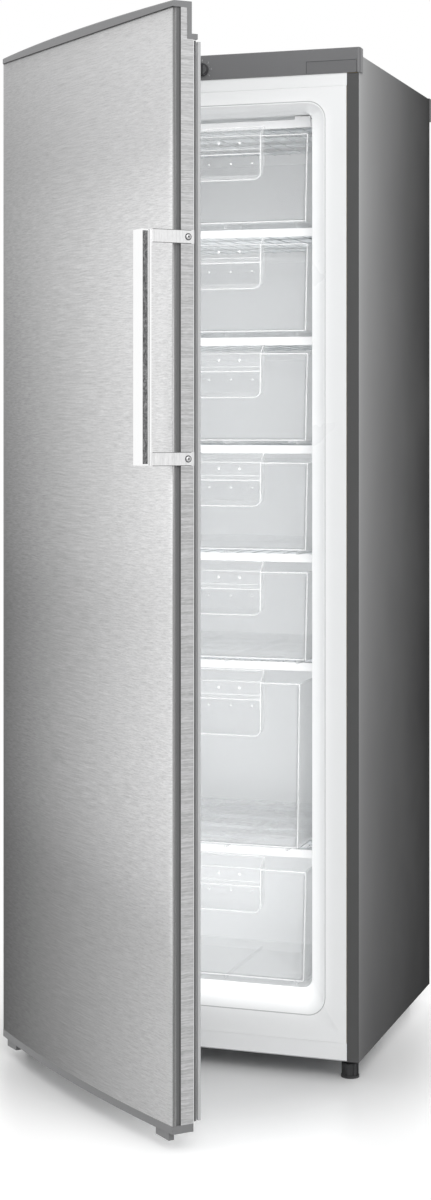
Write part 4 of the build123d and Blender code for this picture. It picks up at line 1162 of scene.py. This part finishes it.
@dataclass
class DoorPanel:
    """Bowed front sheet of the door with its edges folded back."""

    left: float = -22.0
    right: float = 578.0
    near: float = -24.0
    bow: float = 15.0
    back: float = -18.0
    low: float = 41.0
    seam: float = 1681.0
    sag: float = 5.5
    sheet: float = 1.0
    steps: int = 48
    fold: float = 1.6
    fold_steps: int = 4

    @property
    def middle(self) -> float:
        """Return the middle of the sheet across the door."""
        return (self.left + self.right) / 2

    @property
    def half(self) -> float:
        """Return half the sheet's width."""
        return (self.right - self.left) / 2

    @property
    def radius(self) -> float:
        """Return the radius of the bow."""
        return (self.half**2 + self.bow**2) / (2 * self.bow)

    def arch(self, x: float) -> float:
        """Return the height of the sheet's top edge at a place across the door."""
        return self.seam - self.sag * (1 - ((x - self.middle) / self.half) ** 2)

    def build(self) -> None:
        """Build the sheet."""
        mesh = bmesh.new()
        centre = Vector((self.middle, self.near - self.bow + self.radius, self.low))
        start = mesh.verts.new((self.left, self.near, self.low))
        swing(mesh, [start], centre, 2 * math.asin(self.half / self.radius), self.steps)
        corners = [vert for vert in mesh.verts if len(vert.link_edges) == 1]
        for vert in corners:
            made = bmesh.ops.extrude_vert_indiv(mesh, verts=[vert])["verts"]
            made[0].co = Vector((vert.co.x, self.back, self.low))
        bmesh.ops.bevel(
            mesh,
            geom=corners,
            offset=self.fold,
            offset_type="OFFSET",
            affect="VERTICES",
            segments=self.fold_steps,
            profile=0.5,
            material=-1,
        )
        made = bmesh.ops.extrude_edge_only(mesh, edges=list(mesh.edges))["geom"]
        for vert in only(made, bmesh.types.BMVert):
            vert.co.z = self.arch(vert.co.x)
        obj = WORKSHOP.piece(
            mesh, "door_front_sheet", Body.DOOR.value, "door_steel", replaces=("door_skin",), crease=50.0
        )
        thicken(obj, self.sheet, -1.0)


@dataclass(frozen=True)
class DrawerForm:
    """Sizes of one drawer in the cabinet's axes."""

    floor: float
    top: float
    half: float
    drop: float = 73.0


@dataclass(frozen=True)
class GateMarks:
    """A row of round gate marks on a drawer's front."""

    places: tuple[float, ...]
    behind: float
    drop: float
    depth: float
    radius: float
    sides: int


@dataclass
class Drawers:
    """Moulded beads, lips and round gate marks of the seven clear drawers, and thin dark lines of painted
    shade on their fronts.
    """

    forms: tuple[DrawerForm, ...] = (
        *(DrawerForm(level + 8.0, level + 153.0, 206.0) for level in (1395.0, 1214.0, 1033.0, 852.0, 671.0)),
        DrawerForm(368.0, 640.0, 192.5, 90.0),
        DrawerForm(149.0, 330.0, 203.0),
    )
    front: float = 27.0
    proud: float = 0.3
    behind: float = 0.2
    above: float = 40.0
    under: float = 1.0
    hood: float = 126.0
    corner: float = 12.0
    bar: float = 30.0
    lip: float = 8.0
    flap: Pair = (22.0, 17.0)
    draft: float = 3.5
    inset: float = 2.0
    bold: float = 0.9
    plain: float = 0.8
    fine: float = 0.6
    lip_bead: float = 0.5
    foot_bead: float = 1.0
    edge_line: float = 0.45
    edge_run: Pair = (3.0, 6.0)
    marks: tuple[GateMarks, ...] = (
        GateMarks((-90.0, -54.0, 54.0, 90.0), 0.1, 11.0, 0.35, 2.1, 16),
        GateMarks((-105.0, -68.0, -30.0, 30.0, 68.0, 105.0), 23.0, 43.0, 0.5, 1.6, 10),
    )

    def build(self) -> None:
        """Build every drawer's details."""
        kinds = (
            ("drawer_beads", "bead_plastic", (self._outlines, self._marks)),
            # The drawers' thin dark lines are painted shade.
            ("drawer_shade_lines", "drawer_shade_line", (self._edges,)),
        )
        for number, form in enumerate(self.forms, start=1):
            for name, finish, parts in kinds:
                mesh = bmesh.new()
                for part in parts:
                    part(mesh, form)
                WORKSHOP.piece(mesh, f"{name}_{number}", f"drawer_{number}", "clear_plastic", finish=finish)

    def _edges(self, mesh: Mesh, form: DrawerForm) -> None:
        """Add the thin dark lines of painted shade where the front wall meets the sides and the floor.

        Args:
            mesh: The mesh.
            form: The drawer's sizes.
        """
        face = self.front + self.behind
        head = form.half - self.inset
        foot = head - self.draft
        low, high = form.floor + self.edge_run[0], form.top - self.edge_run[1]
        for side in (-1, 1):
            bead(mesh, [(side * foot, face, low), (side * head, face, high)], self.edge_line)
        bead(mesh, [(-foot, face, low), (foot, face, low)], self.edge_line)

    def _outlines(self, mesh: Mesh, form: DrawerForm) -> None:
        """Add the beads round the pocket, flap, grip and front wall; their paleness is a painted highlight.

        Args:
            mesh: The mesh.
            form: The drawer's sizes.
        """
        face, hood, top = self.front - self.proud, self.hood, form.top
        back, crest = self.front + self.flap[0], top + self.flap[1]
        outline = rounded_outline(hood, top - form.drop, top + self.above, self.corner)
        pocket = [(x, face, z) for x, z in outline if z < top]
        start = next(number for number, point in enumerate(pocket) if point[0] < 0)
        bead(mesh, [(-hood, face, top), *pocket[start:], *pocket[:start], (hood, face, top)], self.bold)
        wall = self.front + self.inset
        for side in (-1, 1):
            edge, head, foot = side * hood, side * form.half, side * (form.half - self.draft)
            bead(mesh, [(edge, self.front, top), (edge, back, crest)], self.plain)
            bead(mesh, [(foot, wall, form.floor), (head, wall, top - self.under)], self.plain)
            bead(mesh, [(edge, face, top - self.under), (head, face, top - self.under)], self.bold)
        run = form.half - self.draft - self.inset
        grip = top - self.bar
        level = (
            (hood, back, crest, self.bold),
            (hood, face, top, self.fine),
            (run, face, form.floor + self.under, self.foot_bead),
            (hood, face, grip, self.bold),
            (hood, face, grip + self.lip, self.lip_bead),
        )
        for half, y, z, radius in level:
            bead(mesh, [(-half, y, z), (half, y, z)], radius)

    def _marks(self, mesh: Mesh, form: DrawerForm) -> None:
        """Add the round gate marks on the grip and the small ones in the pocket.

        Args:
            mesh: The mesh.
            form: The drawer's sizes.
        """
        for row in self.marks:
            for x in row.places:
                start = Vector((x, self.front + row.behind, form.top - row.drop))
                round_bar(mesh, start, Vector((0, -row.depth, 0)), row.radius, row.sides)


@dataclass
class Mouth:
    """Painted shade in the soft crease round the liner's mouth, where its lip rises from the flange."""

    half: float = 243.5
    low: float = 102.5
    high: float = 1596.5
    radius: float = 30.0
    behind: float = 0.2
    thick: float = 0.9

    def build(self) -> None:
        """Build the crease's painted shade."""
        mesh = bmesh.new()
        outline = rounded_outline(self.half, self.low, self.high, self.radius)
        bead(mesh, [(x, self.behind, z) for x, z in outline], self.thick, closed=True)
        WORKSHOP.piece(mesh, "mouth_crease_shade", Body.CABINET.value, "white_plastic", finish="mouth_crease_shade")


@dataclass
class Gasket:
    """Magnetic gasket: a rubber section with two bellows folds, swept round the door."""

    left: float = -16.0
    right: float = 572.0
    low: float = 42.0
    high: float = 1633.0
    section: tuple[Pair, ...] = (
        (6.0, 14.0), (6.0, 16.4), (0.5, 16.6), (0.0, 17.1), (0.0, 18.9), (0.5, 19.4),
        (5.0, 19.7), (5.0, 21.5), (0.5, 21.8), (0.0, 22.3), (0.0, 26.2), (0.7, 26.9),
        (6.0, 29.4), (12.5, 31.1), (19.5, 31.35), (20.0, 30.9), (20.0, 14.0),
    )

    def build(self) -> None:
        """Build the gasket."""
        mesh = bmesh.new()
        loops = []
        for inset, behind in self.section:
            left, right = self.left + inset, self.right - inset
            low, high = self.low + inset, self.high - inset
            corners = ((left, low), (right, low), (right, high), (left, high))
            loops.append([mesh.verts.new((x, behind, z)) for x, z in corners])
        for loop, after in zip(loops, loops[1:] + loops[:1]):
            for corner in range(4):
                step = (corner + 1) % 4
                mesh.faces.new((loop[corner], loop[step], after[step], after[corner]))
        WORKSHOP.piece(
            mesh, "gasket_section", Body.DOOR.value, "gasket_rubber", replaces=("door_gasket",), crease=50.0
        )


@dataclass
class DoorSeamShadows:
    """Painted shadow in the door's seams: dark strips under the top cap's arch and behind the free side
    sheet.
    """

    panel: DoorPanel = field(default_factory=DoorPanel)
    steps: int = 40
    proud: float = 0.25
    height: float = 1.3
    inset: float = 0.3
    strip: Pair = (12.2, 14.6)
    strip_run: Pair = (44.0, 1633.0)
    strip_proud: float = 0.05
    thick: float = 0.2

    def build(self) -> None:
        """Build the painted shadow strips."""
        mesh = bmesh.new()
        panel = self.panel
        # Painted shadow along the seam under the top cap's arch.
        rows = []
        for step in range(self.steps + 1):
            x = panel.left + self.inset + 2 * (panel.half - self.inset) * step / self.steps
            rise = math.sqrt(panel.radius**2 - (x - panel.middle) ** 2) - (panel.radius - panel.bow)
            y = panel.near - rise - self.proud
            rows.append([mesh.verts.new((x, y, panel.arch(x) + offset)) for offset in (-self.height, 0.0)])
        for row, after in zip(rows, rows[1:]):
            mesh.faces.new((row[0], after[0], after[1], row[1]))
        # Painted shadow in the gap behind the free side sheet.
        x = panel.right + self.strip_proud
        low, high = ([mesh.verts.new((x, y, z)) for y in self.strip] for z in self.strip_run)
        mesh.faces.new((*low, *reversed(high)))
        obj = WORKSHOP.piece(
            mesh, "door_seam_shadows", Body.DOOR.value, "edge_dark", finish="seam_dark", close=False
        )
        thicken(obj, self.thick, 0.0)


@dataclass
class KnobFace:
    """Grey face plate of the thermostat knob, on both sides of its finger bar."""

    centre: Pair = (34.0, 1657.0)
    face: float = -8.9
    radius: float = 8.6
    bar: float = 3.0
    thick: float = 0.15
    steps: int = 16

    def build(self) -> None:
        """Build the face plate."""
        mesh = bmesh.new()
        reach = math.acos(self.bar / self.radius)
        middle = Vector((self.centre[0], self.face - self.thick, self.centre[1]))
        for side in (-1, 1):
            angles = [reach * (2 * step / self.steps - 1) for step in range(self.steps + 1)]
            ring = [Vector((side * math.cos(angle), 0, math.sin(angle))) * self.radius for angle in angles]
            mesh.faces.new([mesh.verts.new(middle + offset) for offset in ring])
        made = bmesh.ops.extrude_face_region(mesh, geom=list(mesh.faces))["geom"]
        bmesh.ops.translate(mesh, vec=(0, self.thick, 0), verts=only(made, bmesh.types.BMVert))
        WORKSHOP.piece(mesh, "knob_face", Body.KNOB.value, "knob_plastic", finish="knob_face")


@dataclass
class ScrewHead:
    """Domed screw head with a six-lobed recess, its axis along z."""

    radius: float = 4.0
    height: float = 1.8
    recess: float = 1.5
    depth: float = 1.1
    dome: tuple[Pair, ...] = ((1.0, 0.45), (0.86, 0.85), (0.6, 1.0))
    taper: float = 0.92
    sides: int = 24
    lobe: float = 0.16

    def add(self, mesh: Mesh, place: Matrix) -> None:
        """Add one head.

        Args:
            mesh: The mesh.
            place: Where its foot stands, with z outwards.
        """
        # Each ring: radius, height, depth of its lobes.
        rings = (
            *((self.radius * across, self.height * up, 0.0) for across, up in self.dome),
            (self.recess, self.height, self.lobe),
            (self.recess * self.taper, self.height - self.depth, self.lobe),
        )
        ring = circle(mesh, self.radius, self.sides, place)
        back = place.inverted()
        for radius, height, lobe in rings:
            ring = extrude_ring(mesh, ring, Vector())
            for vert in verts_of(ring):
                local = back @ vert.co
                angle = math.atan2(local.y, local.x)
                reach = radius * (1.0 + lobe * math.cos(6 * angle))
                vert.co = place @ Vector((reach * math.cos(angle), reach * math.sin(angle), height))
        close_ends(mesh, ring)


@dataclass
class Handle:
    """Screws of the bar handle; painted shade in their dark recesses, round their rims and in the thin groove
    along the bar.
    """

    side: float = 578.0
    strap: float = 2.5
    screw_behind: float = 1.0
    heights: tuple[float, ...] = (1018.0, 1344.0)
    groove: Pair = (-63.5, -62.5)
    bar: Pair = (1008.0, 1354.0)
    strap_half: float = 9.6
    strap_run: Pair = (-58.5, 6.0)
    line: Pair = (0.3, 0.7)
    # Depth, radius and sides of the painted shade round each head and in its recess.
    rounds: tuple[tuple[float, float, int], ...] = ((0.25, 5.3, 28), (1.0, 1.6, 6))
    sunk: float = 0.6
    spare: Pair = (0.1, 2.0)
    head: ScrewHead = field(default_factory=ScrewHead)

    def build(self) -> None:
        """Build the screws and the painted shade of their recesses, the bracket's edges and the groove's
        floor.
        """
        face = self.side + self.strap
        heads, dark = bmesh.new(), bmesh.new()
        begin, end = self.strap_run
        for height in self.heights:
            foot = Vector((face, self.screw_behind, height))
            self.head.add(heads, Matrix.Translation(foot) @ QUARTER_Y)
            # Painted shade: a dark ring round each head and a dark disc in its recess.
            for depth, radius, sides in self.rounds:
                round_bar(dark, foot, Vector((depth, 0, 0)), radius, sides)
            # Painted shadow: dark lines along the bracket's upper and lower edges.
            for rise in (-self.strap_half, self.strap_half):
                middle = Matrix.Translation((face, (begin + end) / 2, height + rise))
                box(dark, middle, (self.line[0], end - begin, self.line[1]))
        # Painted shade: a dark floor in the groove along the bar.
        near, far = self.groove
        low, high = self.bar
        middle = Matrix.Translation((self.side - self.sunk, (near + far) / 2, (low + high) / 2))
        box(dark, middle, (self.line[0], far - near - self.spare[0], high - low - self.spare[1]))
        door, slot, stands_for = Body.DOOR.value, "screw_steel", ("handle_screws",)
        WORKSHOP.piece(heads, "handle_screw_heads", door, slot, replaces=stands_for, crease=40.0)
        WORKSHOP.piece(dark, "handle_painted_shade", door, slot, finish="seam_dark")


@dataclass
class CoverSeam:
    """Dark joint round the blanking cover of the fascia."""

    sides: Pair = (212.2, 296.8)
    rows: Pair = (1641.5, 1660.8)
    face: float = -1.7
    thick: float = 0.5

    def build(self) -> None:
        """Build the joint."""
        mesh = bmesh.new()
        low, high = self.rows
        corners = [(x, self.face, z) for x in self.sides for z in (low, high)]
        bead(mesh, [*corners[:2], *reversed(corners[2:])], self.thick)
        WORKSHOP.piece(mesh, "cover_seam", Body.CABINET.value, "dark_plastic", finish="seam_dark")


@dataclass
class Dial:
    """Scale printed on the fascia round the thermostat knob: ticks and the numbers 1 to 7."""

    centre: Pair = (34.0, 1657.0)
    face: float = -2.0
    proud: float = 0.08
    radius: float = 12.6
    ticks: int = 13
    tick: Pair = (0.35, 1.6)
    short: float = 0.6
    ring: float = 16.0
    numbers: int = 7
    size: float = 3.6
    spread: float = 130.0

    def build(self) -> None:
        """Build the print."""
        mesh = bmesh.new()
        origin = Matrix.Translation((self.centre[0], self.face, self.centre[1])) @ QUARTER_X
        for step in range(self.ticks):
            length = self.tick[1] * (self.short if step % 2 else 1.0)
            turn = Matrix.Rotation(-self._angle(step, self.ticks), 4, "Z")
            place = origin @ turn @ Matrix.Translation((0, self.radius + length / 2, 0))
            box(mesh, place, (self.tick[0], length, 2 * self.proud))
        for step in range(self.numbers):
            angle = self._angle(step, self.numbers)
            offset = Vector((math.sin(angle), math.cos(angle), 0.0)) * self.ring
            curve = bpy.data.curves.new("number", "FONT")
            curve.body = str(step + 1)
            curve.size = self.size
            curve.align_x = curve.align_y = "CENTER"
            curve.extrude = self.proud
            curve.resolution_u = 3
            pour(mesh, curve, origin @ Matrix.Translation(offset))
        WORKSHOP.piece(mesh, "dial_scale", Body.CABINET.value, "dark_plastic", finish="dial_print")

    def _angle(self, step: int, count: int) -> float:
        """Return the angle of one of a number of evenly spread marks, in radians."""
        return math.radians(self.spread * (2 * step / (count - 1) - 1))


# ---------------------------------------------------------------- studio


@dataclass(frozen=True)
class SoftBox:
    """A soft box that the camera doesn't see."""

    name: str
    place: Colour
    target: Colour
    power: float
    size: Pair = (2.4, 2.4)
    spread: float = 180.0
    mirrored: bool = True

    def build(self) -> None:
        """Build the lamp."""
        data = bpy.data.lights.new(self.name, "AREA")
        data.shape = "RECTANGLE"
        data.size, data.size_y = self.size
        data.energy = self.power
        data.spread = math.radians(self.spread)
        lamp = add_object(self.name, data)
        lamp.location = self.place
        lamp.rotation_euler = (Vector(self.target) - Vector(self.place)).to_track_quat("-Z", "Y").to_euler()
        lamp.visible_camera = False
        lamp.visible_glossy = lamp.visible_transmission = self.mirrored


@dataclass
class Studio:
    """Pale floor, soft light and the camera."""

    floor_half: float = 9.0
    floor_tones: Pair = (0.86, 0.88)
    floor_rough: float = 0.35
    floor_patches: float = 3.0
    # A glow that only the camera sees: painted light on the floor, left out near the object, so the floor is
    # painted darker round it.
    floor_lift: float = 0.3
    lift_run: Pair = (0.22, 0.52)
    white_run: Pair = (0.7, 1.7)
    lit_share: float = 0.74
    boxes: tuple[SoftBox, ...] = (
        SoftBox("key", (1.9, -3.0, 2.9), (0.1, 0.0, 0.9), 62.0),
        SoftBox("fill", (-2.9, -2.6, 1.9), (0.0, 0.0, 0.9), 26.0),
        SoftBox("mouth", (0.0, -0.075, 0.85), (0.0, 1.0, 0.85), 1.75, (0.46, 1.46), 110.0, False),
    )
    eye: Colour = (1.1720, -3.6132, 1.0734)
    heading: float = 19.69
    lens: float = 67.6
    sensor: float = 36.0
    shift: Pair = (0.0768, -0.149)
    clear_layers: int = 32

    def build(self) -> None:
        """Build the studio."""
        self._floor()
        self._world()
        for box_light in self.boxes:
            box_light.build()
        self._camera()
        bpy.context.scene.view_settings.view_transform = "Standard"
        bpy.context.scene.cycles.transparent_max_bounces = self.clear_layers

    def _floor(self) -> None:
        """Add the floor: diffuse near the object, where its shadow falls, white beyond, and painted light
        fading out towards it.
        """
        mesh = bmesh.new()
        bmesh.ops.create_grid(mesh, x_segments=8, y_segments=8, size=self.floor_half)
        floor = add_object("floor", mesh_data("floor", mesh))
        shader = Shader("floor")
        cloud = shader.effect(EFFECTS.patches, shader.place(), Scale=self.floor_patches)[0]
        shader.set(Base_Color=shader.mix(cloud, *map(grey, self.floor_tones)), Roughness=self.floor_rough)
        distance = shader.node("ShaderNodeVectorMath", (shader.place(),), operation="LENGTH")["Value"]
        seen = shader.node("ShaderNodeLightPath")["Is Camera Ray"]
        lift, white = (
            shader.math("MULTIPLY", shader.stretch(distance, run, kind="SMOOTHSTEP"), seen)
            for run in (self.lift_run, self.white_run)
        )
        # Painted light and shade: the glow fades out towards the object, darkening the floor round its foot.
        strength = shader.math("MULTIPLY", lift, self.floor_lift)
        glow = shader.node("ShaderNodeEmission", {"Strength": strength})[0]
        lifted = shader.node("ShaderNodeAddShader", (shader.body, glow))[0]
        shader.fade(white, lifted, shader.node("ShaderNodeEmission")[0])
        floor.data.materials.append(shader.material)

    def _world(self) -> None:
        """Light from all round: white where it is seen, plain where it only lights."""
        world = bpy.data.worlds.new("studio")
        bpy.context.scene.world = world
        world.use_nodes = True
        nodes = NodeTree(world.node_tree)
        rays = nodes.node("ShaderNodeLightPath")
        share = rays["Is Camera Ray"]
        for label in ("Is Glossy Ray", "Is Transmission Ray"):
            share = nodes.math("MAXIMUM", share, rays[label])
        background = world.node_tree.nodes["Background"].inputs
        nodes.put(background["Strength"], nodes.stretch(share, (0.0, 1.0), (self.lit_share, 1.0)))
        nodes.put(background["Color"], (*WHITE, 1.0))

    def _camera(self) -> None:
        """Add the camera at the photograph's viewing angle."""
        data = bpy.data.cameras.new("camera")
        data.sensor_width = self.sensor
        data.lens = self.lens
        data.shift_x, data.shift_y = self.shift
        camera = add_object("camera", data)
        camera.location = self.eye
        camera.rotation_euler = (math.radians(90.0), 0.0, math.radians(self.heading))
        bpy.context.scene.camera = camera


def main() -> None:
    """Build the looks in order."""
    logging.basicConfig(level=logging.INFO, format="%(name)s: %(message)s")
    WORKSHOP.dress_all()
    assemblies = (
        FreezingShelves(),
        Condenser(),
        DoorPanel(),
        DoorSeamShadows(),
        Gasket(),
        Mouth(),
        Drawers(),
        Handle(),
        KnobFace(),
        CoverSeam(),
        Dial(),
        Studio(),
    )
    for assembly in assemblies:
        assembly.build()
        LOG.info("%s ready", type(assembly).__name__)


if __name__ == "__main__":
    main()
